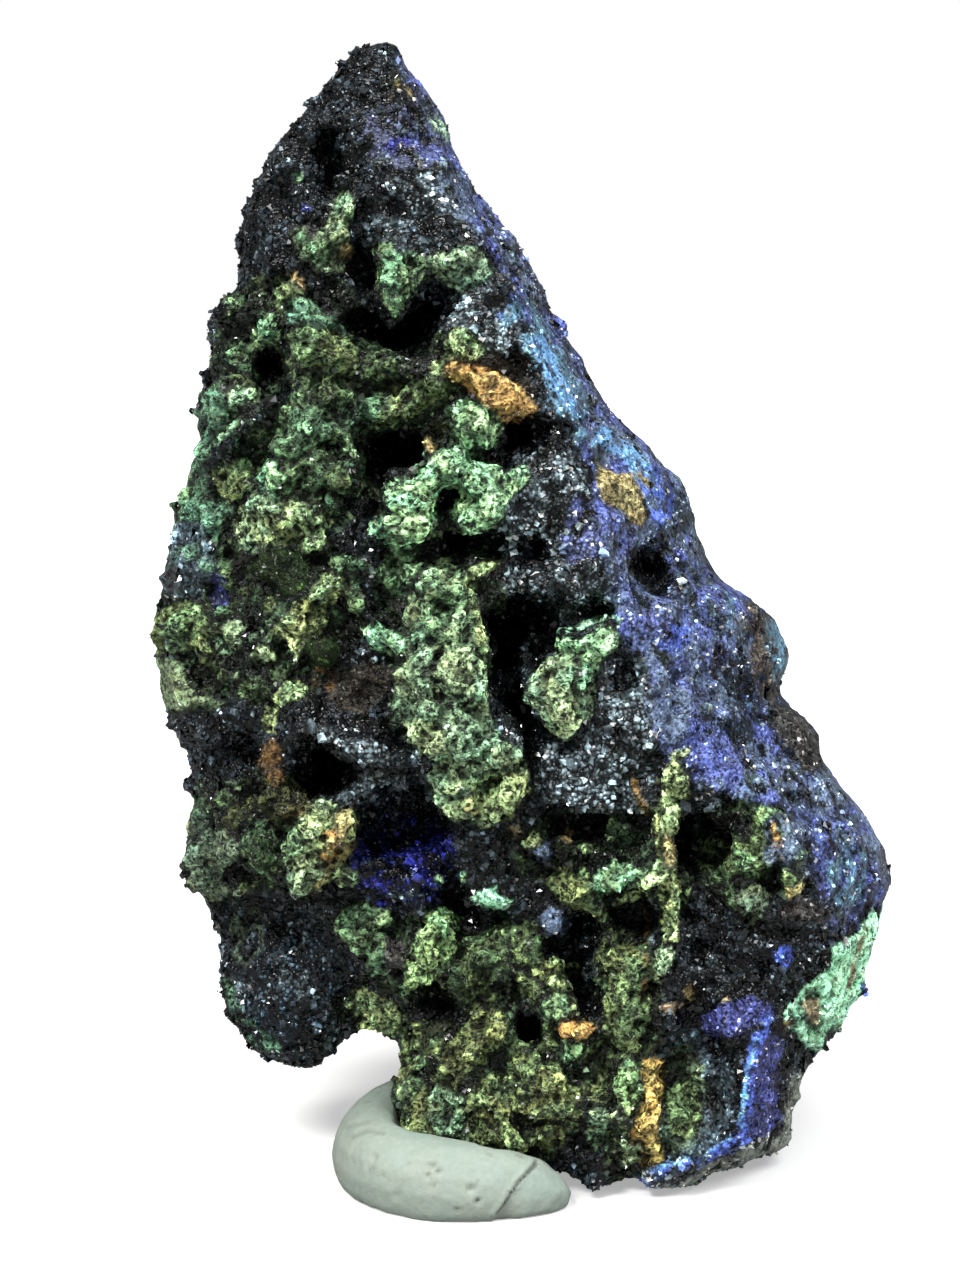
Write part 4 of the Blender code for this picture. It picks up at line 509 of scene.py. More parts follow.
    ("green", 1.1, ((-18.1, 24.3), (-17.2, 25.6), (-15.9, 26.2), (-14.9, 27.0), (-14.2, 25.8),
        (-12.7, 25.4), (-12.3, 24.5), (-13.1, 23.3), (-13.4, 21.8), (-13.3, 20.4), (-14.2, 19.2),
        (-15.5, 20.6), (-16.8, 22.0), (-18.0, 22.9))),
    ("greybrown", 0.6, ((-13.4, 22.9), (-11.9, 22.5), (-11.0, 21.4), (-11.8, 19.6), (-13.1, 19.6))),
    ("grass", 1.4, ((-10.0, 23.7), (-9.3, 25.1), (-8.2, 25.7), (-6.8, 25.4), (-6.0, 24.7), (-6.6, 23.1),
        (-6.4, 21.4), (-7.2, 20.0), (-8.4, 18.8), (-10.1, 17.9), (-12.0, 16.9), (-12.1, 18.1),
        (-11.2, 19.8), (-10.8, 21.6))),
    ("lime", 0.9, ((-17.5, 16.3), (-16.7, 17.6), (-15.4, 17.9), (-13.9, 16.9), (-12.3, 16.3), (-12.1, 14.8),
        (-12.4, 13.0), (-14.3, 13.2), (-16.0, 13.8), (-16.3, 15.3))),
    ("moss", 0.8, ((-7.6, 18.5), (-6.9, 20.2), (-5.7, 21.6), (-4.6, 22.5), (-3.5, 23.1), (-2.3, 22.1),
        (-1.4, 22.0), (-1.8, 20.4), (-2.5, 18.8), (-3.6, 17.5), (-5.3, 16.5), (-7.0, 16.9))),
    ("moss", 0.7, ((-1.4, 23.9), (-0.4, 24.7), (0.3, 23.5), (1.4, 22.7), (1.8, 21.4), (1.3, 20.0),
        (-0.4, 20.0), (-1.4, 21.4))),
    ("olive", 0.7, ((-1.2, 19.6), (0.1, 19.2), (1.5, 17.7), (0.7, 16.5), (-0.8, 17.3))),
    ("green", 0.8, ((1.3, 16.3), (2.4, 17.5), (3.8, 17.2), (4.3, 15.7), (3.4, 14.8), (1.8, 14.9))),
    # middle below
    ("sand", 0.8, ((-1.8, 33.3), (-0.7, 33.7), (-0.3, 32.5), (-1.2, 32.2))),
    ("lime", 0.9, ((-0.6, 32.4), (0.5, 33.1), (1.2, 32.2), (0.8, 31.1), (-0.3, 31.4))),
    ("greyblue", 0.7, ((0.8, 31.4), (2.2, 32.2), (2.6, 30.9), (1.7, 30.0), (0.6, 30.3))),
    ("ochre", 0.7, ((3.3, 32.4), (3.6, 33.5), (4.3, 32.9), (4.1, 32.0))),
    ("olive", 1.0, ((1.8, 28.3), (2.7, 29.5), (4.2, 29.8), (5.5, 29.5), (5.9, 27.9), (6.3, 26.2),
        (7.8, 24.9), (7.1, 23.8), (5.9, 25.1), (4.3, 25.6), (2.7, 26.4))),
    ("mint", 1.3, ((5.9, 27.9), (6.7, 29.5), (8.0, 30.2), (9.5, 29.9), (10.6, 29.3), (11.9, 30.4),
        (12.0, 29.5), (10.8, 28.1), (9.3, 27.4), (7.8, 27.0), (6.7, 26.6))),
    ("greyblue", 0.8, ((1.2, 24.9), (2.2, 25.8), (3.3, 25.0), (4.4, 24.1), (3.7, 22.9), (2.2, 22.7),
        (1.4, 23.5))),
    ("orange", 1.2, ((2.8, 14.0), (3.7, 14.8), (5.1, 14.8), (6.3, 14.1), (6.2, 13.2), (4.7, 12.8),
        (3.4, 13.1))),
    ("lime", 1.4, ((12.8, 38.6), (13.7, 40.0), (14.7, 38.6), (15.2, 36.6), (14.3, 35.2), (14.0, 32.9),
        (13.8, 30.2), (14.4, 27.9), (15.4, 27.7), (15.0, 26.2), (14.1, 24.9), (14.2, 22.3), (12.8, 22.4),
        (12.5, 26.0), (12.1, 27.7), (10.5, 26.6), (8.6, 25.8), (8.2, 26.4), (10.1, 27.7), (11.7, 28.9),
        (12.0, 31.2), (11.7, 33.7), (12.4, 35.4))),
    ("ochre", 1.6, ((12.6, 32.5), (13.4, 32.7), (13.8, 31.0), (13.6, 29.3), (12.9, 29.9))),
    # wall
    ("olive", 1.1, ((7.0, 16.3), (7.3, 18.3), (7.1, 20.0), (8.0, 21.6), (9.7, 22.2), (11.4, 22.0),
        (12.1, 20.4), (11.8, 17.7), (11.7, 14.6), (11.0, 12.6), (10.2, 11.0), (8.7, 10.6), (7.6, 11.2),
        (8.1, 13.2))),
    ("sage", 1.4, ((12.0, 20.8), (12.8, 22.0), (13.9, 21.6), (13.8, 20.2), (13.0, 18.8), (12.1, 17.7))),
    ("grass", 1.0, ((8.7, 9.8), (9.8, 10.8), (11.2, 10.6), (11.5, 8.5), (11.0, 6.5), (9.9, 5.1), (8.7, 6.5),
        (8.3, 8.3))),
    ("orangestripe", 1.2, ((11.1, 11.0), (11.9, 11.2), (12.9, 10.8), (13.2, 9.1), (13.0, 7.3), (12.8, 5.7),
        (12.5, 4.1), (13.0, 2.3), (13.2, 0.9), (12.0, 0.3), (10.9, 0.5), (10.1, 1.7), (9.7, 3.1),
        (10.5, 4.3), (11.0, 5.9), (11.3, 7.7), (11.1, 9.5))),
    ("sage", 0.8, ((5.7, 4.5), (6.1, 5.9), (7.2, 6.3), (8.5, 5.7), (7.8, 4.5), (7.0, 2.9), (6.7, 1.8),
        (5.9, 2.9))),
    ("sage", 0.7, ((8.0, 1.7), (9.3, 2.7), (10.9, 2.3), (10.9, 0.9), (9.4, 0.3))),
    # right lobe
    ("grass", 1.5, ((21.0, 34.3), (21.6, 35.6), (22.7, 35.4), (24.2, 34.8), (24.8, 33.5), (24.8, 32.0),
        (26.2, 31.2), (25.8, 30.1), (25.6, 28.7), (26.1, 27.6), (25.3, 26.6), (24.4, 26.4), (23.8, 27.6),
        (23.9, 29.3), (23.2, 30.8), (22.8, 29.1), (22.5, 28.3), (20.8, 28.7), (19.6, 29.1), (18.7, 30.8),
        (19.6, 32.0), (20.9, 31.6))),
    ("orange", 1.4, ((22.5, 33.9), (23.1, 34.1), (23.9, 32.2), (24.1, 30.1), (23.3, 31.0), (22.9, 32.5))),
    ("yellow", 1.4, ((24.2, 27.6), (24.9, 27.7), (25.8, 28.3), (26.1, 27.6), (25.3, 26.5), (24.5, 26.4))),
    ("moss", 0.5, ((16.6, 32.0), (18.1, 32.4), (19.8, 31.2), (20.2, 29.3), (19.1, 28.1), (17.2, 28.3),
        (16.2, 30.1))),
    ("greygreen", 1.0, ((20.0, 26.4), (20.4, 27.6), (21.7, 28.1), (22.7, 27.4), (22.7, 25.8), (22.0, 24.4),
        (20.8, 23.9), (20.1, 25.1))),
    ("moss", 0.6, ((18.3, 27.4), (19.5, 27.9), (20.0, 26.4), (19.7, 25.2), (18.7, 26.0))),
    ("greybrown", 0.5, ((23.4, 26.0), (25.3, 26.8), (27.2, 26.2), (28.7, 25.2), (28.0, 24.1), (25.7, 24.5),
        (24.0, 24.7))),
    # right edge
    ("mintbright", 1.2, ((31.9, 24.7), (32.7, 25.4), (33.3, 24.3), (33.1, 22.7), (32.4, 21.4), (32.2, 19.8),
        (31.7, 18.1), (31.1, 16.3), (30.3, 14.8), (29.3, 13.6), (28.4, 13.8), (28.1, 11.2), (26.7, 12.0),
        (25.7, 13.2), (24.6, 14.0), (24.3, 15.5), (25.5, 17.1), (26.4, 18.3), (27.9, 19.3), (28.9, 20.4),
        (28.8, 21.8), (29.7, 22.3), (31.0, 23.1))),
    ("sand", 1.0, ((26.1, 16.3), (26.6, 17.2), (27.4, 16.7), (27.6, 14.9), (27.3, 14.0), (26.6, 14.8))),
    ("orangebrown", 0.8, ((24.2, 14.8), (24.9, 15.1), (25.3, 14.4), (24.6, 13.9))),
    # foot
    ("footolive", 1.2, ((-8.6, 9.5), (-8.0, 11.2), (-6.7, 13.6), (-5.3, 14.8), (-4.0, 15.7), (-2.7, 15.7),
        (-1.4, 14.6), (-1.7, 13.2), (-2.7, 12.0), (-4.0, 11.4), (-5.2, 10.4), (-6.3, 9.1), (-6.9, 7.5),
        (-7.3, 5.7), (-8.0, 4.1), (-9.2, 2.7), (-9.2, 1.8), (-10.9, 1.6), (-12.0, 2.3), (-11.8, 4.3),
        (-11.4, 6.3), (-10.3, 7.7))),
    ("footolive", 1.4, ((-5.9, 6.7), (-5.2, 7.9), (-4.0, 9.3), (-2.9, 9.7), (-1.9, 9.3), (-1.4, 10.8),
        (-0.6, 11.8), (0.3, 11.1), (0.9, 10.2), (2.1, 10.8), (3.2, 10.4), (3.8, 8.5), (4.8, 8.2),
        (5.3, 7.1), (4.5, 5.7), (3.2, 4.8), (1.9, 4.6), (0.6, 5.3), (-1.2, 5.9), (-1.5, 4.9), (-0.6, 2.9),
        (0.4, 1.9), (-0.8, 1.3), (-2.1, 2.1), (-3.4, 2.7), (-4.6, 1.9), (-5.5, 3.3), (-5.9, 4.9))),
    ("footolive", 1.0, ((0.7, 3.9), (2.1, 4.4), (3.4, 4.3), (3.8, 2.7), (2.7, 1.6), (1.3, 1.7),
        (0.4, 2.7))),
    ("sage", 1.3, ((-8.6, 8.5), (-7.3, 8.1), (-6.3, 7.1), (-5.7, 5.7), (-6.1, 4.3), (-7.3, 3.3),
        (-8.4, 3.5), (-9.2, 4.5), (-9.5, 5.9), (-9.3, 7.3))),
    # panel
    ("ochre", 0.7, ((14.7, 17.7), (15.6, 18.7), (16.1, 17.5), (15.5, 16.4))),
    ("sand", 0.6, ((12.6, 15.9), (14.1, 16.7), (15.1, 16.4), (14.0, 15.4))),
    ("sand", 0.6, ((18.4, 16.5), (19.1, 17.1), (19.7, 16.2), (19.0, 15.7))),
    ("indigo", 0.2, ((21.9, 13.8), (23.5, 13.4), (24.6, 12.6), (24.1, 10.4), (23.9, 6.9), (24.6, 4.9),
        (23.2, 3.3), (21.2, 3.1), (20.9, 5.1), (21.5, 7.3), (21.2, 10.2))),
    ("indigo", 0.3, ((16.4, 15.1), (18.3, 16.1), (21.1, 17.1), (23.2, 16.3), (23.6, 14.8), (21.7, 14.0),
        (19.3, 13.0), (17.4, 13.0))),
    ("blue", 0.2, ((23.1, 21.6), (24.8, 22.3), (25.2, 20.6), (24.3, 19.4))),
    ("olive", 0.4, ((13.5, 8.3), (15.0, 9.1), (16.3, 7.9), (16.6, 4.9), (15.4, 2.9), (13.9, 3.5),
        (13.3, 5.9))),
)

# Holes through the forms, given in the same way as the vugs.
HOLES = (
    (-1.5, ((-21.3, 60.2), (-20.8, 59.8), (-21.0, 59.1), (-22.3, 59.4), (-22.4, 60.4))),
    (-3.0, ((-9.2, 49.0), (-8.7, 50.0), (-7.5, 50.3), (-7.9, 49.2), (-8.3, 48.1), (-9.0, 47.6),
        (-9.6, 48.3))),
    (-1.5, ((-8.1, 54.3), (-7.2, 54.6), (-6.4, 53.7), (-7.0, 53.1))),
    (-3.0, ((7.6, 25.6), (9.7, 26.0), (11.6, 26.4), (12.2, 24.9), (12.0, 22.9), (10.3, 22.9), (8.2, 23.5))),
)

# Patches of colour over the forms, given in the same way as the grounds.
PATCHES = (
    ("greyviolet", -11.0, 97.4, 4.2, 3.4, -30),
    ("violet", -9.0, 96.2, 2.6, 1.9, -30),
    ("royal", -12.2, 95.8, 1.3, 0.7, -20),
    ("olivebrown", -11.5, 101.0, 1.4, 1.3, 0),
    ("ochre", -11.6, 100.7, 0.9, 0.9, 0),
    ("greyblue", -6.4, 91.5, 1.5, 2.4, -25),
    ("orangebrown", -18.8, 47.3, 1.0, 0.8, 0),
    ("orangebrown", -23.8, 39.4, 0.8, 2.0, 0),
    ("orangebrown", -21.9, 35.0, 1.0, 0.8, 0),
    ("olivebrown", -22.0, 36.0, 1.8, 1.6, 0),
    ("mossflat", -24.3, 31.3, 1.6, 2.0, 0),
    ("green", -7.4, 54.2, 2.7, 3.8, 0),
    ("lime", -4.4, 36.0, 3.4, 1.6, 20),
    ("greyblue", 13.2, 44.5, 2.2, 2.6, 0),
    ("skyteal", 30.2, 28.8, 1.8, 2.8, 0),
    ("moss", -0.6, 7.9, 3.0, 1.2, 0),
    ("moss", -15.3, 23.2, 1.6, 1.8, 0),
    ("greyblue", 23.9, 32.4, 2.0, 2.6, 0),
    ("green", -22.1, 32.0, 0.9, 2.0, 20),
    ("violet", 11.6, 52.8, 1.8, 1.6, 0),
    ("violet", 5.0, 61.3, 2.2, 3.0, 0),
    ("lime", -19.8, 32.4, 1.7, 2.6, 0),
    ("greygrass", -8.1, 98.1, 0.9, 2.0, -28),
    ("royal", -20.2, 90.6, 0.4, 0.6, 0),
    ("mint", -20.6, 93.6, 0.5, 0.7, 0),
    ("royal", -2.1, 81.1, 0.7, 1.1, 0),
    ("brown", -32.7, 56.9, 0.9, 1.3, 0),
    ("indigo", -28.4, 55.6, 0.8, 1.6, 0),
    ("teal", -30.6, 58.6, 2.0, 0.9, 20),
    ("druse", 12.9, 57.4, 2.2, 2.6, 0),
    ("slate", 16.3, 53.8, 1.9, 1.3, 0),
    ("slate", 14.3, 63.3, 1.5, 3.2, 18),
    ("slate", 16.4, 58.2, 1.8, 2.4, 25),
    ("navy", 20.4, 43.9, 1.6, 2.8, 20),
    ("navy", 17.9, 42.2, 1.8, 1.2, 0),
    ("lime", -4.0, 36.3, 3.4, 1.5, -15),
    ("lime", -23.2, 61.6, 2.2, 1.4, 0),
    ("navy", 25.0, 35.4, 2.0, 1.8, 0),
    ("slate", 29.9, 33.1, 1.1, 1.8, 20),
    ("blue", 13.7, 51.4, 1.6, 1.2, 0),
    ("navy", 20.4, 47.2, 2.0, 2.6, 20),
    ("skyteal", 23.2, 50.1, 1.0, 3.2, -10),
    ("skyteal", 19.0, 53.7, 0.7, 2.4, -10),
    ("lime", 14.2, 40.7, 0.9, 0.6, 0),
    ("navy", 25.6, 30.0, 1.2, 1.6, 0),
    ("navy", -22.6, 18.7, 5.7, 6.4, 0),
    ("royal", -11.4, 30.2, 5.2, 4.5, 0),
    # a painted glint
    ("white", -11.4, 37.3, 0.9, 0.35, 45),
    ("teal", -25.4, 13.0, 1.6, 0.8, 45),
    ("greygreen", -26.6, 23.5, 1.7, 3.6, 0),
    ("moss", -12.0, 5.9, 1.6, 2.2, 0),
)

# Narrow bands on the front: mineral, half width, and the points that each runs through.
STROKES = (
    ("druse", 0.6, ((-21.5, 74.7), (-23.6, 72.7), (-25.9, 70.5), (-29.1, 67.5))),
    ("skyteal", 0.9, ((5.0, 69.7), (6.6, 69.8), (8.1, 69.3), (9.8, 67.9), (10.9, 66.2))),
    ("sky", 0.9, ((6.6, 70.0), (8.1, 69.3), (9.8, 67.9), (10.9, 66.0), (11.6, 64.2))),
    ("blue", 1.2, ((11.2, 66.0), (11.9, 64.5), (12.2, 63.0))),
    ("skyteal", 1.7, ((-0.8, 80.6), (1.1, 78.2), (2.5, 75.0), (3.6, 73.0))),
    ("sky", 0.7, ((0.9, 78.4), (2.3, 75.6), (3.2, 73.8), (4.6, 72.2))),
    ("teal", 0.6, ((-28.2, 18.2), (-27.3, 15.5), (-25.7, 13.6), (-23.8, 12.2))),
    ("lime", 0.3, ((-16.2, 34.6), (-17.0, 31.2), (-17.7, 29.1), (-19.6, 27.6), (-21.3, 27.1))),
    ("mintbright", 0.3, ((2.9, 51.6), (5.0, 52.4), (7.4, 53.6), (8.6, 53.0))),
    ("blue", 0.6, ((22.6, 14.9), (21.4, 11.8), (21.1, 8.4), (20.9, 4.1))),
    ("sky", 0.22, ((21.8, 13.0), (21.0, 9.6), (20.6, 6.0), (20.6, 4.0))),
    ("blue", 0.7, ((20.5, 2.9), (18.3, 1.9), (16.1, 0.6), (13.6, -0.2), (11.4, -0.9))),
    ("sky", 0.25, ((19.6, 3.2), (17.4, 2.0), (15.0, 0.8), (12.6, 0.1))),
    ("tan", 1.0, ((20.2, 53.7), (21.1, 51.1), (21.7, 48.5), (22.3, 46.2))),
    ("orangebrown", 0.3, ((11.2, 25.0), (11.3, 21.6), (11.2, 16.7))),
    ("orange", 0.4, ((10.0, 37.9), (10.6, 36.4), (11.1, 35.0))),
    ("sand", 0.3, ((31.8, 23.6), (31.2, 20.6), (30.4, 18.0))),
    ("rim", 1.3, ((14.6, -1.8), (19.0, 0.1), (23.4, 1.8), (25.8, 5.0), (26.4, 9.0))),
)

# The putty's surface: how uneven it is, its seam and folds as lines, its dents as h, z, radius, depth.
PUTTY_SWELL = 0.16
PUTTY_DIMPLES = 0.05
PUTTY_SEAM = ((1.5, 1.5), (0.8, 0.3), (-0.6, -1.2), (-1.7, -3.0), (-2.6, -4.4))
SEAM_DEPTH = 0.45
SEAM_STEP = 0.35                        # how much lower the putty lies to the right of the seam
SEAM_LIP = 0.18                         # how far its edge to the left stands up
PUTTY_FOLDS = (
    ((-17.3, 5.9), (-15.1, 6.8), (-12.2, 7.1)),
    ((-17.2, 4.2), (-14.7, 5.0), (-12.2, 4.7)),
    ((-16.6, 3.2), (-15.3, 3.9), (-13.6, 3.7)),
)
FOLD_DEPTH = 0.16
PUTTY_DENTS = (
    (-9.0, 0.4, 0.45, 0.4), (-8.4, -0.2, 0.4, 0.4), (-9.4, -0.6, 0.35, 0.3), (-5.3, -1.9, 0.5, 0.4),
    (-4.6, -3.2, 0.4, 0.35), (-6.7, -4.0, 0.35, 0.20), (-14.4, 1.3, 0.5, 0.12), (-12.3, -2.6, 0.7, 0.12),
    (-13.6, -0.7, 0.3, 0.15),
)


# ---------------------------------------------------------------- noise
def eased(share):
    """A share from 0 to 1, with soft ends."""
    return share * share * (3.0 - 2.0 * share)


def smooth_step(value, low, high):
    """0 below low and 1 above high, with a soft change between them."""
    return eased(np.clip((value - low) / (high - low), 0.0, 1.0))


def hashed(low, step, seed):
    """Repeatable numbers from 0 to 1, one for each lattice point that is a step on from low."""
    mixed = np.uint32((seed * HASH_SEED) & HASH_TOP)
    for axis, prime in enumerate(HASH_AXES):
        mixed = mixed ^ ((low[:, axis] + step[axis]).astype(np.uint32) * np.uint32(prime))
    for shift, factor in HASH_MIX:
        mixed = (mixed ^ (mixed >> np.uint32(shift))) * np.uint32(factor)
    mixed = mixed ^ (mixed >> np.uint32(16))
    return mixed.astype(np.float32) / np.float32(HASH_TOP)


def noise(points, grain, seed):
    """Smooth noise from -1 to 1."""
    place = points @ TURN / grain + 0.37 * seed
    low = np.floor(place)
    part = eased(place - low)
    low = low.astype(np.int32)
    total = np.zeros(len(points), np.float32)
    for step in itertools.product((0, 1), repeat=3):
        weight = np.ones(len(points), np.float32)
        for axis in range(3):
            weight *= part[:, axis] if step[axis] else 1.0 - part[:, axis]
        total += weight * hashed(low, step, seed)
    return 2.0 * total - 1.0


def layered(points, grain, seed):
    """Noise with finer and fainter layers added, from about -1 to 1."""
    total = np.zeros(len(points), np.float32)
    weight = 0.6
    for layer in range(3):
        total += weight * noise(points, grain * 0.5 ** layer, seed + 17 * layer)
        weight *= 0.55
    return total


def ridges(points, grain, seed):
    """Sharp-crested noise from 0 in the dips to 1 on the crests."""
    return 1.0 - np.abs(noise(points, grain, seed)) * 1.6


def cells(points, grain, seed):
    """Distance to the nearest cell's centre in grains, how much farther the next one is, and a tone."""
    place = points @ TURN / grain
    low = np.floor(place).astype(np.int32)
    part = (place - low).astype(np.float32)
    nearest = np.full(len(points), 9.0, np.float32)
    second = np.full(len(points), 9.0, np.float32)
    tone = np.zeros(len(points), np.float32)
    for step in itertools.product((-1, 0, 1), repeat=3):
        gap = np.zeros(len(points), np.float32)
        for axis in range(3):
            gap += (step[axis] + hashed(low, step, seed + axis) - part[:, axis]) ** 2
        second = np.minimum(second, np.maximum(nearest, gap))
        tone = np.where(gap < nearest, hashed(low, step, seed + 3), tone)
        nearest = np.minimum(nearest, gap)
    return np.sqrt(nearest), np.sqrt(second) - np.sqrt(nearest), tone


# ---------------------------------------------------------------- meshes
def vectors_of(items, field):
    """A field of three numbers of each item."""
    values = np.empty(len(items) * 3, np.float32)
    items.foreach_get(field, values)
    return values.reshape(-1, 3)


def points_of(mesh):
    """A mesh's points, in the layout's millimetres."""
    return vectors_of(mesh.vertices, "co") / MM - TO_FRAME


def normals_of(mesh):
    """A mesh's vertex normals."""
    return vectors_of(mesh.vertex_normals, "vector")


def move_points(mesh, points):
    """Put a mesh's points at places in the layout's millimetres."""
    mesh.vertices.foreach_set("co", ((points + TO_FRAME) * MM).astype(np.float32).ravel())
    mesh.update()


def placed(name, data):
    """An object in the scene, made of a mesh, a camera or a lamp."""
    item = bpy.data.objects.new(name, data)
    bpy.context.scene.collection.objects.link(item)
    return item


def reshaped(mesh, voxel, rounds, factor=0.5):
    """A new mesh: grown again on a grid, unless voxel is 0, and then smoothed in rounds."""
    item = placed("reshaped", mesh)
    if voxel:
        grid = item.modifiers.new("grid", "REMESH")
        grid.mode = "VOXEL"
        grid.voxel_size = voxel * MM
    soften = item.modifiers.new("soften", "SMOOTH")
    soften.iterations = rounds
    soften.factor = factor
    depsgraph = bpy.context.evaluated_depsgraph_get()
    result = bpy.data.meshes.new_from_object(item.evaluated_get(depsgraph))
    bpy.data.objects.remove(item, do_unlink=True)
    return result


def polygon_mesh(name, points, faces):
    """A mesh from points in the layout and an array of faces that all have as many corners."""
    mesh = bpy.data.meshes.new(name)
    mesh.vertices.add(len(points))
    mesh.loops.add(faces.size)
    mesh.polygons.add(len(faces))
    mesh.loops.foreach_set("vertex_index", faces.astype(np.int32).ravel())
    mesh.polygons.foreach_set("loop_start", np.arange(0, faces.size, faces.shape[1], dtype=np.int32))
    move_points(mesh, points)
    mesh.update(calc_edges=True)
    return mesh


def set_colours(mesh, name, colours):
    """Store a colour for each point."""
    values = np.ones((len(colours), 4), np.float32)
    values[:, :3] = colours
    layer = mesh.color_attributes.new(name, "FLOAT_COLOR", "POINT")
    layer.data.foreach_set("color", values.ravel())


def set_values(mesh, name, values):
    """Store a number for each point."""
    layer = mesh.attributes.new(name, "FLOAT", "POINT")
    layer.data.foreach_set("value", values.astype(np.float32))


def new_piece(name, mesh, material, smooth):
    """Make an object of a mesh that moves with the specimen."""
    mesh.materials.clear()
    mesh.materials.append(material)
    mesh.polygons.foreach_set("use_smooth", np.full(len(mesh.polygons), smooth))
    item = placed(name, mesh)
    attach(item, "root")
    return item


# ---------------------------------------------------------------- places on the front
def unit(vectors):
    """Vectors at length 1."""
    return vectors / np.linalg.norm(vectors, axis=1, keepdims=True)


def dot(first, second):
    """The dot product of each pair of vectors."""
    return np.einsum("nk,nk->n", first, second)


def seen_at(points):
    """Where each point is seen on the middle plane: h and z."""
    share = -EYE[1] / (points[:, 1] - EYE[1])
    h = EYE[0] + (points[:, 0] - EYE[0]) * share
    z = EYE[2] + (points[:, 2] - EYE[2]) * share
    return h, z


def warped(points, amount, aside):
    """Where points are seen, shifted at random so that outlines turn ragged, and more so aside."""
    h, z = seen_at(points)
    h = h + amount * (layered(points, *NOISES["shift_h"]) + 0.45 * noise(points, *NOISES["jitter_h"]))
    z = z + amount * (layered(points, *NOISES["shift_z"]) + 0.45 * noise(points, *NOISES["jitter_z"]))
    return h, z + 5.0 * aside * layered(points, *NOISES["shift_aside"])


def ellipse_share(h, z, shape):
    """Points near a leaning ellipse, and how far each is inside it, from 0 to 1 past its edge."""
    at_h, at_z, half_width, half_height, lean = shape
    reach = 1.3 * max(half_width, half_height)
    near = np.flatnonzero((np.abs(h - at_h) < reach) & (np.abs(z - at_z) < reach))
    turn = math.radians(lean)
    right = h[near] - at_h
    above = z[near] - at_z
    across = (right * math.cos(turn) - above * math.sin(turn)) / half_width
    along = (right * math.sin(turn) + above * math.cos(turn)) / half_height
    distance = np.sqrt(across ** 2 + along ** 2)
    softness = min(0.25, 0.28 / min(half_width, half_height))
    return near, smooth_step(-distance, -1.0 - softness, -1.0 + softness)


def segment_gap(h, z, start, end):
    """How far each point is from the straight line between two places."""
    along_h = end[0] - start[0]
    along_z = end[1] - start[1]
    length2 = along_h ** 2 + along_z ** 2
    share = np.clip(((h - start[0]) * along_h + (z - start[1]) * along_z) / length2, 0.0, 1.0)
    return np.hypot(h - start[0] - share * along_h, z - start[1] - share * along_z)


def line_gap(h, z, line):
    """How far each point is from a line on the front."""
    gap = np.full(len(h), FAR, np.float32)
    for start, end in zip(line, line[1:]):
        gap = np.minimum(gap, segment_gap(h, z, start, end))
    return gap


def stroke_share(h, z, half_width, line):
    """How far each point is inside a band along a line on the front."""
    return smooth_step(-line_gap(h, z, line), -1.25 * half_width, -0.6 * half_width)


def outline_gap(h, z, outline):
    """Points near a closed outline, and how far each is outside it; less than 0 is inside."""
    corners = np.array(outline)
    low = corners.min(axis=0) - FORM_REACH
    high = corners.max(axis=0) + FORM_REACH
    near = np.flatnonzero((h > low[0]) & (h < high[0]) & (z > low[1]) & (z < high[1]))
    across, up = h[near], z[near]
    gap = line_gap(across, up, outline + outline[:1])
    inside = np.zeros(len(near), bool)
    for (h0, z0), (h1, z1) in zip(outline, outline[1:] + outline[:1]):
        if z0 != z1:
            crossing = (z0 > up) != (z1 > up)
            inside ^= crossing & (across < h0 + (up - z0) * (h1 - h0) / (z1 - z0))
    return near, np.where(inside, -gap, gap)


# ---------------------------------------------------------------- what grows where
class Growth:
    """The minerals at a set of points: colour, crust, relief, and how far each is proud or sunk."""

    def __init__(self, count, mineral):
        colour, crust, relief = MINERALS[mineral]
        self.colour = np.tile(np.array(colour, np.float32), (count, 1))
        self.crust = np.full(count, crust, np.float32)
        self.relief = np.full(count, relief, np.float32)
        self.proud = np.zeros(count, np.float32)
        self.sunk = np.zeros(count, np.float32)

    def cover(self, mineral, amount, at=EVERYWHERE, proud=0.0):
        """Lay a mineral over the points, by an amount from 0 to 1."""
        colour, crust, relief = MINERALS[mineral]
        keep = 1.0 - amount
        self.colour[at] = self.colour[at] * keep[:, None] + np.array(colour, np.float32) * amount[:, None]
        for values, value in ((self.crust, crust), (self.relief, relief), (self.proud, proud)):
            values[at] = values[at] * keep + value * amount

    def sink(self, height, at):
        """Push points away from the eye, by a height that is 0 or less."""
        self.sunk[at] = np.minimum(self.sunk[at], height)


def open_vug(growth, h, z, front, height, outline):
    """Open a hole in what is there: sunk away from the eye, and painted near-black as its shade."""
    near, gap = outline_gap(h, z, outline)
    seen = front[near]
    growth.cover("painted_shade_black", smooth_step(-gap, -0.15, 0.35) * seen, near)
    growth.sink(height * smooth_step(-gap, -0.3, 0.9) * seen, near)


def lay_form(growth, h, z, front, mineral, proud, outline):
    """Lay one form over what is there, with a painted shadow in a sunk crease round it and a painted
    highlight inside its edge.
    """
    near, gap = outline_gap(h, z, outline)
    seen = front[near]
    round_edge = np.sqrt(np.clip(-gap / ROUND_EDGE, 0.0, 1.0))
    inside = smooth_step(-gap, -0.12, 0.12) * seen
    if proud > SHADOW_CREASE_FROM:
        # painted shadow: near-black round the form, where the crease is also sunk
        shadow_ring = smooth_step(-gap, -SHADOW_CREASE, -0.1) * seen
        growth.cover("painted_shade_black", 0.8 * shadow_ring, near, -0.9)
    growth.sunk[near] *= 1.0 - inside
    growth.cover(mineral, inside, near, proud * (0.5 + 0.5 * round_edge))
    # painted highlight: the crust is lightened in a narrow band just inside the form's edge
    rim = smooth_step(-gap, 0.0, 0.12) * smooth_step(gap, -0.75, -0.3) * seen * growth.crust[near]
    growth.colour[near] *= 1.0 + 0.45 * rim[:, None]


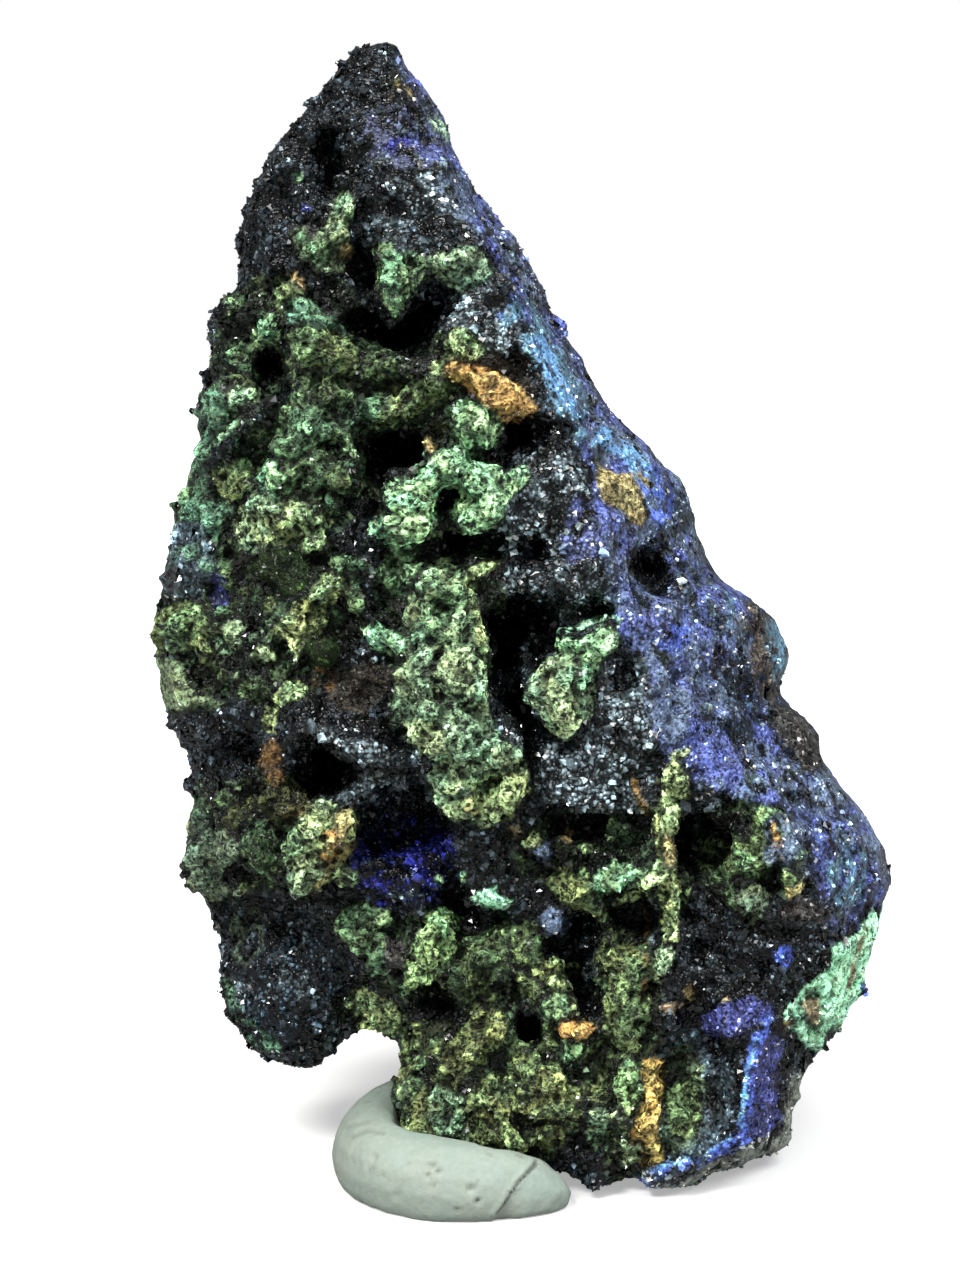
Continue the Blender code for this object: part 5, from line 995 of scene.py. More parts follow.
def grow_lobes(growth, points, where, grain, seed, missing, depth):
    """Part a crust into rounded lobes of many tones; its gaps and missing lobes are sunk and painted
    near-black as their shade.
    """
    shift = np.stack([noise(points, 0.8 * grain, seed + 5 + axis) for axis in range(3)], axis=1)
    distance, gap, tone = cells(points + 0.5 * grain * shift, grain, seed)
    where = where * growth.crust * growth.relief
    kept = smooth_step(tone, missing - 0.03, missing + 0.03)
    share = np.clip((tone - missing) / (1.0 - missing), 0.0, 1.0)
    growth.colour *= 1.0 + (where * depth * (1.4 * share - 0.5))[:, None]
    warmth = where * np.sin(40.0 * tone)
    growth.colour *= 1.0 + warmth[:, None] * LOBE_WARMTH
    growth.proud += where * kept * grain * (0.35 * share + 0.4 * (0.6 - distance))
    # painted shade in the gaps between the lobes and where lobes are missing
    crease = smooth_step(-gap, -0.24, -0.06)
    dark = where * depth * np.maximum(crease, 1.0 - kept)
    growth.cover("painted_shade_black", 0.85 * dark, proud=-0.3 * grain)


def grow_flank(growth, points, normals, flank):
    """The flank past the ridge: grey-blue, in patches of blue and violet, with pits sunk and painted
    near-black as their shade, and grey-brown where it faces to the right.
    """
    fleck = layered(points, *NOISES["flank_fleck"])
    mixing = layered(points, *NOISES["flank_patch"]) + 0.7 * fleck
    green = layered(points, *NOISES["flank_green"]) + 0.4 * fleck
    growth.cover("greyblue", flank)
    growth.cover("blueviolet", flank * smooth_step(mixing, -0.35, 0.25) * 0.85)
    growth.cover("blue", flank * smooth_step(mixing, 0.3, 0.8) * 0.6)
    growth.cover("indigo", flank * smooth_step(layered(points, *NOISES["flank_indigo"]), 0.0, 0.4) * 0.6)
    growth.cover("greygreen", flank * smooth_step(green, 0.1, 0.5) * 0.4)
    # painted shade: pits sunk a little and painted near-black
    shaded_pits = smooth_step(layered(points, *NOISES["flank_pits"]), 0.12, 0.34)
    growth.cover("painted_shade_black", flank * shaded_pits * 0.9, proud=-0.5)
    # grey-brown where the surface faces to the right
    edge = smooth_step(normals[:, 0] + 0.3 * fleck, 0.78, 0.98)
    growth.cover("greybrown", flank * edge * 0.8)


def grow_drawn(growth, points, h, z, aside, front):
    """The forms, patches and strokes that are drawn on the front."""
    form_place = warped(points, FORM_WARP, aside)
    vug_place = warped(points, VUG_WARP, aside)
    for height, outline in VUGS:
        open_vug(growth, *vug_place, front, height, outline)
    for mineral, proud, outline in FORMS:
        lay_form(growth, *form_place, front, mineral, proud, outline)
    for height, outline in HOLES:
        open_vug(growth, *vug_place, front, height, outline)
    grow_lobes(growth, points, front * smooth_step(growth.proud, 0.2, 0.5), *FORM_LOBES)
    ragged = smooth_step(layered(points, *NOISES["ragged"]), -0.35, 0.1)
    for mineral, *shape in PATCHES:
        near, share = ellipse_share(h, z, shape)
        growth.cover(mineral, 0.9 * share * front[near] * ragged[near], near, growth.proud[near])
    for mineral, half_width, line in STROKES:
        amount = stroke_share(*form_place, half_width, line) * front
        growth.cover(mineral, amount * ragged, proud=0.5)


def grow_behind(growth, points, broad, fine, behind):
    """The side that the photograph doesn't show: moss and olive crusts, blue druse and rust."""
    growth.cover("greybrown", behind)
    growth.cover("moss", behind * smooth_step(broad + 0.4 * fine, 0.0, 0.25))
    growth.cover("olive", behind * smooth_step(broad + 0.6 * fine, 0.35, 0.6))
    growth.cover("greyblue", behind * smooth_step(-broad + 0.5 * fine, 0.1, 0.35))
    growth.cover("royal", 0.8 * behind * smooth_step(-broad + 0.7 * fine, 0.4, 0.9))
    growth.cover("orangebrown", behind * smooth_step(layered(points, *NOISES["rust"]), 0.4, 0.6))


def grow(points, normals):
    """The minerals at each point, from the layout's forms on the front and from noise behind."""
    growth = Growth(len(points), "druse")
    broad = layered(points, *NOISES["broad"])
    fine = layered(points, *NOISES["fine"])
    facing = dot(unit(EYE - points), normals)
    front = smooth_step(facing + 0.15 * fine + 0.1 * broad, -0.2, -0.04)
    aside = smooth_step(-facing, -0.15, 0.15)
    h, z = warped(points, PATCH_WARP, aside)
    ridge_h, ridge_z = np.array(RIDGE[::-1]).T
    past = h - np.interp(z, ridge_z, ridge_h) + 0.8 * fine

    growth.cover("greydruse", smooth_step(fine + broad, 0.0, 0.5))
    grow_flank(growth, points, normals, smooth_step(past, -0.6, 0.8))
    for mineral, *shape in GROUNDS:
        near, share = ellipse_share(h, z, shape)
        growth.cover(mineral, share * front[near], near)
    crumbs = smooth_step(layered(points, *NOISES["crumbs"]), 0.08, 0.28) * growth.crust * front
    growth.cover("green", crumbs * 0.6, proud=0.4 * crumbs)
    grow_lobes(growth, points, front, *BROAD_LOBES)
    grow_drawn(growth, points, h, z, aside, front)
    grow_behind(growth, points, broad, fine, 1.0 - front)
    return growth


# ---------------------------------------------------------------- the stone's relief
def ball():
    """Corners and faces of a small ball of radius 1."""
    bm = bmesh.new()
    bmesh.ops.create_icosphere(bm, subdivisions=1, radius=1.0)
    corners = np.array([vertex.co for vertex in bm.verts], np.float32)
    faces = np.array([[vertex.index for vertex in face.verts] for face in bm.faces])
    bm.free()
    return corners, faces


def random_frames(normals, tilt, random):
    """Three axes for each normal: aside, ahead and up, with up leaning at random."""
    up = unit(normals + tilt * random.normal(size=normals.shape))
    aside = unit(np.cross(up, random.normal(size=normals.shape)))
    return np.stack((aside, np.cross(up, aside), up), axis=1)


def copied(roots, frames, sizes, corners):
    """Places of a shape's corners, sized and turned at each root."""
    shape = corners * sizes[:, None, :]
    return (roots[:, None, :] + np.einsum("nck,nkd->ncd", shape, frames)).reshape(-1, 3)


def copied_faces(faces, corner_count, count):
    """The faces of a count of copies of a shape."""
    starts = corner_count * np.arange(count)
    return (faces[None] + starts[:, None, None]).reshape(-1, faces.shape[1])


def add_shapes(mesh, points, faces):
    """Add loose closed shapes to a mesh."""
    extra = polygon_mesh("extra", points, faces)
    bm = bmesh.new()
    bm.from_mesh(mesh)
    bm.from_mesh(extra)
    bm.to_mesh(mesh)
    bm.free()
    bpy.data.meshes.remove(extra)


def opened(points, normals):
    """Open the vugs, sink the ground between the forms, and fold the crust."""
    growth = grow(points, normals)
    rough = growth.crust * growth.relief
    druse = 1.0 - growth.crust
    facing = smooth_step(-normals[:, 1], 0.15, 0.6)
    gaps = layered(points, *NOISES["gaps"]) + 0.35 * layered(points, *NOISES["small_gaps"])
    gaps = smooth_step(gaps, 0.1, 0.35)
    folds = ridges(points, *NOISES["folds"])
    small_folds = ridges(points, *NOISES["small_folds"])
    clumps, _, _ = cells(points, *NOISES["clumps"])
    height = facing * (-GROUND_SINK - CRUST_SINK * rough - GAP_SINK * gaps * rough)
    height = height + (0.3 + facing) * growth.proud
    height += rough * (FOLD_HEIGHT * (folds - 0.5) + SMALL_FOLD_HEIGHT * (small_folds - 0.5))
    height += druse * (0.1 + growth.relief) * (0.5 - clumps)
    height += druse * SWELL_HEIGHT * layered(points, *NOISES["swell"])
    height += (1.0 - rough) * GRIT_HEIGHT * (ridges(points, *NOISES["grit"]) - 0.5)
    height *= 1.0 - 0.8 * smooth_step(points[:, 2], *CALM_TIP)
    return points + normals * height[:, None] + unit(EYE - points) * growth.sunk[:, None]


def add_lumps(mesh):
    """Grow small lumps on the crust and knobs on the druse."""
    points = points_of(mesh)
    normals = normals_of(mesh)
    growth = grow(points, normals)
    random = np.random.default_rng(11)
    chance = random.random(len(points))
    crust_share = CRUST_LUMPS[0] * growth.crust * growth.relief * np.clip(growth.proud, 0.0, 1.0)
    druse_share = DRUSE_LUMPS[0] * (1.0 - growth.crust) * growth.relief ** 2
    facing = smooth_step(-normals[:, 1], 0.0, 0.5)
    chosen = np.flatnonzero(chance < facing * (crust_share + druse_share))
    count = len(chosen)
    size = np.where(growth.crust[chosen] > 0.5, CRUST_LUMPS[1], DRUSE_LUMPS[1])[:, None]
    size = size * random.lognormal(0.0, SIZE_SPREAD, size=(count, 1))
    sizes = size * random.uniform(0.5, 1.3, size=(count, 3))
    roots = points[chosen] + normals[chosen] * (size * random.uniform(-0.4, 0.2, size=(count, 1)))
    frames = random_frames(normals[chosen], LUMP_LEAN, random)
    corners, faces = ball()
    places = copied(roots, frames, sizes, corners)
    add_shapes(mesh, places, copied_faces(faces, len(corners), count))


def crust_body(node):
    """The stone's mesh with its vugs opened and its lumps grown."""
    mesh = reshaped(node.data.copy(), COARSE_VOXEL, 1)
    move_points(mesh, opened(points_of(mesh), normals_of(mesh)))
    mesh = reshaped(mesh, COARSE_VOXEL, 1)
    add_lumps(mesh)
    return mesh


def fine_relief(points, growth):
    """Height of the fine relief."""
    crest = 0.6 * ridges(points, *NOISES["crinkles"]) + 0.4 * ridges(points, *NOISES["small_crinkles"])
    height = growth.crust * growth.relief * CRINKLE_HEIGHT * (crest - 0.55)
    bumps, _, _ = cells(points, *NOISES["bumps"])
    return height + (1.0 - growth.crust) * growth.relief * BUMP_HEIGHT * (0.5 - bumps)


def crests(mesh, points, normals):
    """How far each point stands on a crest (1) or in a dip (0), on a fine and on a broad scale."""
    values = []
    for rounds, height in CREST_SCALES:
        soft = reshaped(mesh, 0.0, rounds, 0.6)
        stand = dot(points - points_of(soft), normals)
        bpy.data.meshes.remove(soft)
        values.append(np.clip(0.5 + 0.5 * stand / height, 0.0, 1.0))
    return values


# ---------------------------------------------------------------- materials
class Nodes:
    """A node tree, with the kinds of node that the looks are made of."""

    def __init__(self, tree):
        self.tree = tree

    def feed(self, socket, value):
        """Set a socket to a plain number or colour, or link a node's output into it."""
        if isinstance(value, (float, tuple)):
            socket.default_value = value
        else:
            self.tree.links.new(value, socket)

    def add(self, kind, inputs, **settings):
        """A node with its settings, and with values for some of its inputs."""
        node = self.tree.nodes.new("ShaderNode" + kind)
        for name, value in settings.items():
            setattr(node, name, value)
        for key, value in inputs.items():
            self.feed(node.inputs[key], value)
        return node

    def attribute(self, name, output="Fac"):
        """A value or a colour stored on the mesh."""
        return self.add("Attribute", {}, attribute_name=name).outputs[output]

    def texture(self, kind, grain, **inputs):
        """A texture in the piece's own space, with a grain in millimetres."""
        place = self.add("TexCoord", {}).outputs["Object"]
        return self.add(kind, {"Vector": place, "Scale": 1.0 / (grain * MM), **inputs})

    def noise(self, grain, detail=3.0, roughness=0.55, distortion=0.0):
        """Noise from 0 to 1."""
        settings = {"Detail": detail, "Roughness": roughness, "Distortion": distortion}
        return self.texture("TexNoise", grain, **settings).outputs["Fac"]

    def ranged(self, value, low, high, to_low, to_high):
        """A value mapped from one range to another."""
        inputs = {"Value": value, "From Min": low, "From Max": high, "To Min": to_low, "To Max": to_high}
        return self.add("MapRange", inputs).outputs["Result"]

    def blotches(self, grain, low, high, to_low, to_high, detail=3.0):
        """Noise mapped from one range to another."""
        return self.ranged(self.noise(grain, detail), low, high, to_low, to_high)

    def maths(self, operation, first, second=0.0):
        """One step of arithmetic on two values, of which the second may be a number."""
        return self.add("Math", {0: first, 1: second}, operation=operation).outputs[0]

    def product(self, first, *others):
        """Values multiplied one after the other."""
        for other in others:
            first = self.maths("MULTIPLY", first, other)
        return first

    def scaled(self, colour, factor):
        """A colour multiplied by a value."""
        return self.add("VectorMath", {0: colour, "Scale": factor}, operation="SCALE").outputs[0]

    def mixed(self, factor, first, second, blend="MIX"):
        """A blend of two colours, of which the second may be plain."""
        inputs = {0: factor, 6: first, 7: second}
        return self.add("Mix", inputs, data_type="RGBA", blend_type=blend).outputs[2]

    def bump(self, height, strength, depth):
        """Normals of a fine relief, with a depth in millimetres."""
        inputs = {"Height": height, "Strength": strength, "Distance": depth * MM}
        return self.add("Bump", inputs).outputs["Normal"]

    def crinkle(self, grain):
        """Sharp-crested folds, from 0 in the dips to 1 on the crests."""
        centred = self.maths("SUBTRACT", self.noise(grain, 2.0, 0.5, 0.5), 0.5)
        return self.ranged(self.maths("ABSOLUTE", centred), 0.01, 0.20, 1.0, 0.0)

    def facets(self, grain):
        """Small crystals: a tone at random for each, and how far a place is from its middle."""
        node = self.texture("TexVoronoi", grain)
        parts = self.add("SeparateColor", {0: node.outputs["Color"]})
        return parts.outputs[0], node.outputs["Distance"]

    def hollow_shade(self):
        """How light the druse is: painted shade in hollows a few millimetres across."""
        broad = self.blotches(2.0, 0.40, 0.56, 0.15, 1.75, 1.0)
        return self.product(broad, self.blotches(0.9, 0.38, 0.56, 0.20, 1.45, 1.0))


def new_material(name):
    """An empty material, its nodes, and the inputs of its Principled shader."""
    material = bpy.data.materials.new(name)
    material.use_nodes = True
    tree = material.node_tree
    return material, Nodes(tree), tree.nodes["Principled BSDF"].inputs


def crust_colour(nodes, tint, rugged, crest_light_and_shade, mottle, folds, shaded_pits):
    """Malachite and limonite: stained, with painted shade in the dips of its folds, in pits and in the
    surface's dips, painted light on its crests, and a few painted glints.
    """
    # painted shade and light: darker in the dips of the crinkled folds, in pits and in the mesh's dips,
    # lighter on crests
    shade = nodes.product(mottle, nodes.ranged(folds, 0.22, 0.9, 0.04, 2.2), crest_light_and_shade, shaded_pits)
    shade = nodes.maths("POWER", shade, nodes.ranged(rugged, 0.1, 0.9, 0.3, 1.0))
    warm = nodes.mixed(0.8, tint, WARM_STAIN, "MULTIPLY")
    stained = nodes.mixed(nodes.blotches(2.4, 0.54, 0.72, 0.0, 0.35), tint, warm)
    cool = nodes.mixed(1.0, stained, COOL_STAIN, "MULTIPLY")
    stained = nodes.mixed(nodes.blotches(3.5, 0.42, 0.62, 0.0, 0.9), stained, cool)
    # painted glints: pale specks, mostly on crests
    glint_mask = nodes.product(nodes.blotches(0.4, 0.66, 0.74, 0.0, 0.7, 1.0), crest_light_and_shade)
    return nodes.mixed(glint_mask, nodes.scaled(stained, shade), PAINTED_GLINT_SPECK)


def azurite_colour(nodes, tint, rugged, crest_light_and_shade, mottle, tone, middle):
    """The ground between the crystals: a druse of facets, a few lit as painted glints, with painted shade
    at their edges, in dips and in hollows; or velvet where its relief is low, with painted light and shade
    from the crests.
    """
    # random tone for each facet; the lightest stand in as painted glints
    spread = nodes.ranged(nodes.maths("POWER", tone, 2.0), 0.0, 1.0, 0.15, 3.0)
    # painted shade at the edges of each facet
    edges = nodes.ranged(middle, 0.2, 0.6, 1.15, 0.08)
    glints_and_shade = nodes.product(spread, edges, crest_light_and_shade, nodes.hollow_shade())
    # fine grain, with painted light and shade from the crests
    grain = nodes.product(nodes.blotches(0.35, 0.38, 0.62, 0.08, 1.15), mottle, crest_light_and_shade)
    velvet = nodes.ranged(rugged, 0.5, 0.7, 1.0, 0.0)
    return nodes.mixed(velvet, nodes.scaled(tint, glints_and_shade), nodes.scaled(tint, grain))


def mineral_material():
    """Crusts of malachite and limonite, and the azurite's ground between its crystals."""
    material, nodes, shader = new_material("mineral_crust")
    tint = nodes.attribute("tint", "Color")
    crust = nodes.attribute("crust")
    rugged = nodes.attribute("relief")
    # painted light and shade from the mesh's crests: lighter on crests, darker in dips
    crest_light_and_shade = nodes.ranged(nodes.attribute("crest"), 0.25, 0.72, 0.04, 1.55)
    folds = nodes.product(nodes.crinkle(1.2), 0.55)
    folds = nodes.maths("ADD", folds, nodes.product(nodes.crinkle(0.5), 0.45))
    # pits, sunk by the bump and painted darker as their shade
    shaded_pits = nodes.blotches(0.45, 0.36, 0.52, 0.08, 1.15, 1.0)
    mottle = nodes.blotches(1.6, 0.3, 0.7, 0.85, 2.0)
    tone, middle = nodes.facets(0.36)

    crusts = crust_colour(nodes, tint, rugged, crest_light_and_shade, mottle, folds, shaded_pits)
    azurite = azurite_colour(nodes, tint, rugged, crest_light_and_shade, mottle, tone, middle)
    nodes.feed(shader["Base Color"], nodes.mixed(crust, azurite, crusts))
    uneven = nodes.blotches(0.6, 0.3, 0.7, -0.10, 0.10)
    rough = nodes.maths("ADD", uneven, nodes.ranged(crust, 0.0, 1.0, 0.26, 0.52))
    nodes.feed(shader["Roughness"], rough)
    nodes.feed(shader["IOR"], 1.5)
    nodes.feed(shader["Specular IOR Level"], 0.4)

    crumple = nodes.maths("ADD", folds, nodes.product(shaded_pits, 0.35))
    dips = nodes.ranged(middle, 0.0, 0.7, 0.35, 0.0)
    dips = nodes.product(dips, nodes.ranged(crust, 0.0, 1.0, 1.0, 0.0))
    relief = nodes.maths("ADD", nodes.product(crumple, crust), dips)
    nodes.feed(shader["Normal"], nodes.bump(relief, 1.0, 0.42))
    return material


def crystal_material():
    """Glossy azurite crystals, in random tones, darker in the druse's painted hollow shade."""
    material, nodes, shader = new_material("azurite_crystals")
    # random tone, with the same painted hollow shade as the druse
    tone_and_hollow_shade = nodes.product(nodes.blotches(0.5, 0.3, 0.7, 0.5, 1.6), nodes.hollow_shade())
    nodes.feed(shader["Base Color"], nodes.scaled(nodes.attribute("tint", "Color"), tone_and_hollow_shade))
    nodes.feed(shader["Roughness"], nodes.blotches(1.1, 0.3, 0.7, 0.07, 0.22))
    nodes.feed(shader["IOR"], 1.6)
    return material


def putty_material():
    """Pale grey-green mineral putty, matte, with warmer smears, dark specks, and painted shade in its seam,
    folds and dents.
    """
    material, nodes, shader = new_material("mineral_putty")
    smear = nodes.blotches(7.0, 0.35, 0.65, 0.0, 1.0, 4.0)
    ramp = nodes.add("ValToRGB", {"Fac": smear})
    ramp.color_ramp.elements[0].color = PUTTY_WARM
    ramp.color_ramp.elements[1].color = PUTTY_COOL
    base = nodes.scaled(ramp.outputs["Color"], nodes.blotches(0.5, 0.3, 0.7, 0.93, 1.05, 2.0))
    nodes.feed(shader["Base Color"], nodes.mixed(nodes.attribute("groove_shade_and_specks"), base, PUTTY_SHADE_AND_SPECKS))
    nodes.feed(shader["Roughness"], nodes.blotches(2.0, 0.3, 0.7, 0.5, 0.68))
    nodes.feed(shader["Normal"], nodes.bump(nodes.noise(0.9, 4.0), 0.6, 0.2))
    return material


def floor_material():
    """White sheet, barely uneven, that glows a little for the camera and throws less light on the stone."""
    material, nodes, shader = new_material("white_sheet")
    tone = nodes.blotches(60.0, 0.3, 0.7, 0.93, 0.95)
    sheet = nodes.add("CombineColor", {"Red": tone, "Green": tone, "Blue": tone}).outputs["Color"]
    seen = nodes.add("LightPath", {}).outputs["Is Camera Ray"]
    unseen = nodes.ranged(seen, 0.0, 1.0, 1.0, 0.0)
    nodes.feed(shader["Base Color"], nodes.mixed(unseen, sheet, DIM_FLOOR))
    nodes.feed(shader["Emission Color"], sheet)
    nodes.feed(shader["Emission Strength"], nodes.ranged(seen, 0.0, 1.0, 0.0, 0.40))
    nodes.feed(shader["Roughness"], 0.5)
    return material


# ---------------------------------------------------------------- pieces of the stone
class Surface:
    """The stone's surface on a grid, with what grows at each of its points."""

    def __init__(self, body, voxel):
        self.mesh = reshaped(body, voxel, 1)
        self.points = points_of(self.mesh)
        self.normals = normals_of(self.mesh)
        self.growth = grow(self.points, self.normals)
        self.points = self.points + self.normals * fine_relief(self.points, self.growth)[:, None]
        self.points[:, 2] = np.maximum(self.points[:, 2], LOWEST_STONE)
        move_points(self.mesh, self.points)
        self.normals = normals_of(self.mesh)
        self.fine_crest, self.broad_crest = crests(self.mesh, self.points, self.normals)


def surface_piece(surface, name, shown, look):
    """A piece of a surface: its faces whose first corner is one of the shown points."""
    corners = np.empty(len(surface.mesh.polygons) * 4, np.int32)
    surface.mesh.polygons.foreach_get("vertices", corners)
    corners = corners.reshape(-1, 4)
    used, faces = np.unique(corners[shown[corners[:, 0]]], return_inverse=True)
    part = polygon_mesh(name, surface.points[used], faces.reshape(-1, 4))
    # the looks paint light and shade from this: lighter on crests, darker in dips
    crest = 0.55 * surface.fine_crest + 0.45 * surface.broad_crest
    set_colours(part, "tint", surface.growth.colour[used])
    set_values(part, "crust", surface.growth.crust[used])
    set_values(part, "crest", crest[used])
    set_values(part, "relief", surface.growth.relief[used])
    return new_piece(name, part, look, True)


def crystal_grounds(surface):
    """The points of a surface where each set of crystals grows."""
    azurite = surface.growth.crust < 0.5
    flank = azurite & (surface.growth.relief < 0.7)
    druse = azurite & ~flank
    right = surface.points[:, 0] > SPLIT_AT
    return {
        "azurite_druse_left": druse & ~right,
        "azurite_druse_right": druse & right,
        "azurite_flank": flank,
        "malachite_grains": ~azurite,
    }


def scattered(surface, chosen, size, tone_spread, random):
    """Roots, sizes and colours of crystals at the chosen points."""
    count = len(chosen)
    roots = surface.points[chosen] + random.normal(scale=ROOT_JITTER, size=(count, 3))
    roots -= CRYSTALS_SUNK * surface.normals[chosen]
    sizes = np.array(size) * random.lognormal(0.0, SIZE_SPREAD, size=(count, 1))
    sizes = sizes * random.uniform(0.8, 1.2, size=(count, 3))
    facing = smooth_step(-surface.normals[chosen, 1], 0.0, 0.5)
    sizes = sizes * (0.35 + 0.65 * facing)[:, None]
    tone = random.lognormal(-0.1, tone_spread, size=(count, 1))
    # painted glints: a share of the crystals made much paler and smaller
    glint_mask = random.random((count, 1)) < PAINTED_GLINT_SHARE
    tone = np.where(glint_mask, PAINTED_GLINT_GAIN * tone, tone)
    sizes = np.where(glint_mask, PAINTED_GLINT_SIZE * sizes, sizes)
    # painted light and shade: crystals in the broad dips are darker, those on broad crests lighter
    tone = tone * (0.25 + 1.3 * surface.broad_crest[chosen])[:, None]
    return roots, sizes, np.clip(surface.growth.colour[chosen] * tone, 0.0, 0.7)


def crystal_mesh(name, roots, normals, sizes, tilt, colours, seed):
    """A mesh of small blunt crystals that stand on the surface at random leans."""
    random = np.random.default_rng(seed)
    count = len(roots)
    frames = random_frames(normals, tilt, random)
    corners = BLOCK[None] + random.normal(scale=CORNER_JITTER, size=(count, *BLOCK.shape))
    places = copied(roots, frames, sizes, corners)
    mesh = polygon_mesh(name, places, copied_faces(BLOCK_FACES, len(BLOCK), count))
    set_colours(mesh, "tint", np.repeat(colours, len(BLOCK), axis=0))
    return mesh


def build_crystals(surface, shown, side, density, looks):
    """Azurite crystals and malachite grains, over the shown part of a surface."""
    random = np.random.default_rng(7)
    chance = random.random(len(surface.points))
    shown = shown & (surface.points[:, 2] > CRYSTALS_FROM)
    pieces = []
    for kind, where in crystal_grounds(surface).items():
        share, size, tilt, tone_spread, seed = CRYSTAL_SETS[kind]
        chosen = np.flatnonzero(where & shown & (chance < share * density))
        roots, sizes, colours = scattered(surface, chosen, size, tone_spread, random)
        name = f"{kind}_{side}"
        mesh = crystal_mesh(name, roots, surface.normals[chosen], sizes, tilt, colours, seed)
        look = looks["crystals"]
        if kind == "malachite_grains":
            look = looks["crust"]
            set_values(mesh, "crust", np.ones(len(mesh.vertices)))
            # painted shade at each grain's foot, painted light at its top
            set_values(mesh, "crest", np.tile(GRAIN_CREST_SHADE, len(chosen)))
            set_values(mesh, "relief", np.ones(len(mesh.vertices)))
        pieces.append(new_piece(name, mesh, look, False))
    return pieces


def build_stone(node):
    """All the pieces that stand for the stone."""
    body = crust_body(node)
    looks = {"crust": mineral_material(), "crystals": crystal_material()}
    front = Surface(body, FRONT_VOXEL)
    shown = front.points[:, 1] <= BACK_FROM
    left = front.points[:, 0] < SPLIT_AT
    pieces = [
        surface_piece(front, "stone_left", shown & left, looks["crust"]),
        surface_piece(front, "stone_right", shown & ~left, looks["crust"]),
    ]
    pieces += build_crystals(front, shown, "front", 1.0, looks)
    back = Surface(body, BACK_VOXEL)
    depth = back.points[:, 1]
    pieces.append(surface_piece(back, "stone_back", depth > BACK_FROM - BACK_OVERLAP, looks["crust"]))
    pieces += build_crystals(back, depth > BACK_FROM, "back", BACK_DENSITY, looks)
    return pieces


# ---------------------------------------------------------------- the putty
def right_of_seam(h, z):
    """How far each point is to the right of the straight line between the seam's ends."""
    (top_h, top_z), (foot_h, foot_z) = PUTTY_SEAM[0], PUTTY_SEAM[-1]
    past = (h - top_h) * (top_z - foot_z) - (z - top_z) * (top_h - foot_h)
    return past / math.hypot(top_h - foot_h, top_z - foot_z)


def putty_marks(points, normals):
    """Height of the putty's seam, folds and dents, and how dark each point is: painted shade in them, and
    dark specks.
    """
    h, z = seen_at(points)
    h = h + 0.12 * noise(points, *NOISES["putty_shift"])
    front = smooth_step(-normals[:, 1], -0.1, 0.3)
    height = PUTTY_SWELL * layered(points, *NOISES["putty_swell"])
    height = height + PUTTY_DIMPLES * layered(points, *NOISES["putty_dimples"])
    seam = line_gap(h, z, PUTTY_SEAM)
    past = right_of_seam(h, z)
    height -= SEAM_STEP * smooth_step(past, 0.0, 0.3) * smooth_step(-past, -4.0, -0.5) * front
    lip = smooth_step(-np.abs(past + 0.35), -0.35, 0.0)
    height += SEAM_LIP * lip * smooth_step(-seam, -0.8, -0.4) * front
    groove = smooth_step(-seam, -0.28, 0.0) * front
    # painted shade: darker in the seam's groove, its folds and its dents; the specks are the putty's own
    groove_shade_and_specks = 0.9 * groove
    height -= SEAM_DEPTH * groove
    for line in PUTTY_FOLDS:
        fold = smooth_step(-line_gap(h, z, line), -0.35, 0.0) * front
        height -= FOLD_DEPTH * fold
        groove_shade_and_specks = np.maximum(groove_shade_and_specks, 0.5 * fold)
    for at_h, at_z, radius, depth in PUTTY_DENTS:
        dent = smooth_step(-np.hypot(h - at_h, z - at_z), -radius, -0.3 * radius) * front
        height -= depth * dent
        groove_shade_and_specks = np.maximum(groove_shade_and_specks, dent * min(1.0, 0.5 * depth / radius))
    specks = smooth_step(noise(points, *NOISES["putty_specks"]), 0.72, 0.85)
    return height, np.clip(groove_shade_and_specks + 0.5 * specks, 0.0, 1.0)


def build_putty(node):
    """The putty ring, with its seam, folds and dents."""
    mesh = reshaped(node.data.copy(), PUTTY_VOXEL, 6)
    points = points_of(mesh)
    normals = normals_of(mesh)
    height, groove_shade_and_specks = putty_marks(points, normals)
    points = points + normals * height[:, None]
    points[:, 2] = np.maximum(points[:, 2], 0.0)
    move_points(mesh, points)
    set_values(mesh, "groove_shade_and_specks", groove_shade_and_specks)
    return new_piece("putty_roll", mesh, putty_material(), True)


# ---------------------------------------------------------------- stage
def build_floor():
    """Plain pale floor."""
    corners = [(x * FLOOR_HALF, y * FLOOR_HALF, 0.0) for x, y in ((-1, -1), (1, -1), (1, 1), (-1, 1))]
    mesh = bpy.data.meshes.new("floor")
    mesh.from_pydata(corners, [], [(0, 1, 2, 3)])
    mesh.materials.append(floor_material())
    floor = placed("floor", mesh)


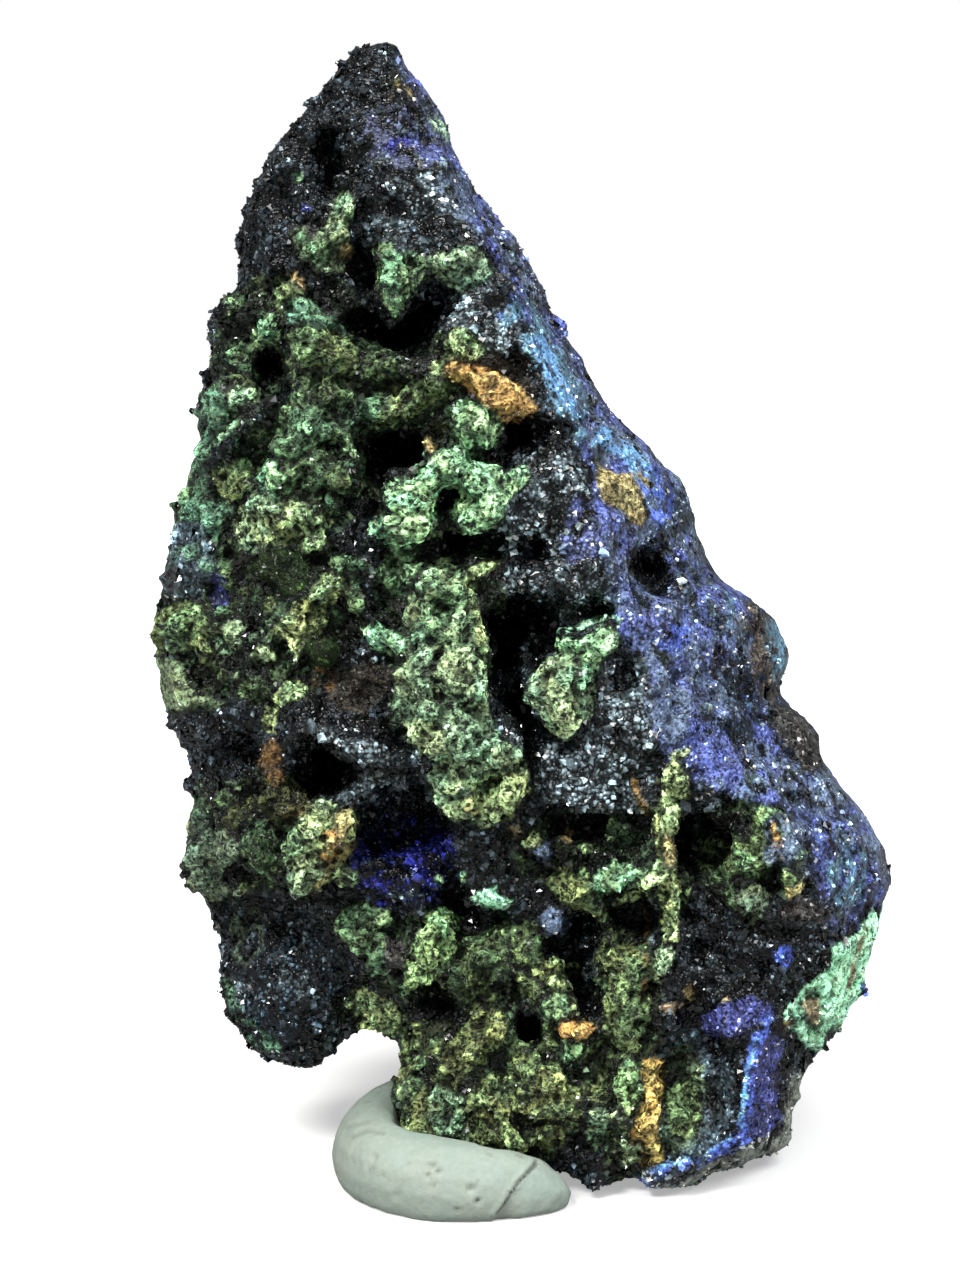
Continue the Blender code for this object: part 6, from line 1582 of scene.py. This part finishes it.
def build_camera():
    """Camera at the photograph's viewing angle."""
    camera = bpy.data.cameras.new("camera")
    camera.sensor_width = SENSOR_WIDTH
    camera.lens = FOCAL_PX * camera.sensor_width / IMAGE_HEIGHT_PX
    item = placed("camera", camera)
    item.location = Vector((EYE + TO_FRAME) * MM)
    item.rotation_euler = (math.radians(90.0 - LOOK_DOWN), 0.0, 0.0)
    bpy.context.scene.camera = item


def build_lamps():
    """Soft far lamps in front on both sides, that light the whole floor alike."""
    for name, (place, width, strength, colour) in LAMPS.items():
        lamp = bpy.data.lights.new(name, "SUN")
        lamp.angle = math.radians(width)
        lamp.energy = strength
        lamp.color = colour
        item = placed(name, lamp)
        item.rotation_euler = Vector(place).to_track_quat("Z", "Y").to_euler()


def build_surround():
    """A surround that is white for the camera, and lights the stone softly, more from above."""
    world = bpy.data.worlds.new("surround")
    bpy.context.scene.world = world
    world.use_nodes = True
    tree = world.node_tree
    nodes = Nodes(tree)
    direction = nodes.add("TexCoord", {}).outputs["Generated"]
    up = nodes.add("SeparateXYZ", {0: direction}).outputs["Z"]
    strength = nodes.ranged(up, -0.2, 0.9, 0.06, 0.40)
    glow = nodes.add("Background", {"Color": WHITE, "Strength": strength})
    shown = tree.nodes["Background"]
    nodes.feed(shown.inputs["Color"], WHITE)
    nodes.feed(shown.inputs["Strength"], 1.0)
    seen = nodes.add("LightPath", {}).outputs["Is Camera Ray"]
    mix = nodes.add("MixShader", {"Fac": seen, 1: glow.outputs[0], 2: shown.outputs[0]})
    nodes.feed(tree.nodes["World Output"].inputs["Surface"], mix.outputs["Shader"])


def main(frame):
    """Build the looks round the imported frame."""
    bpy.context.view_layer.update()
    stone_node = frame["nodes"]["azurite_stone"]
    putty_node = frame["nodes"]["putty_ring"]
    stone_pieces = build_stone(stone_node)
    putty = build_putty(putty_node)
    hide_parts("azurite_stone")
    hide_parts("putty_ring")
    build_floor()
    build_camera()
    build_lamps()
    build_surround()
    bpy.context.scene.view_settings.view_transform = "Standard"


main(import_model())
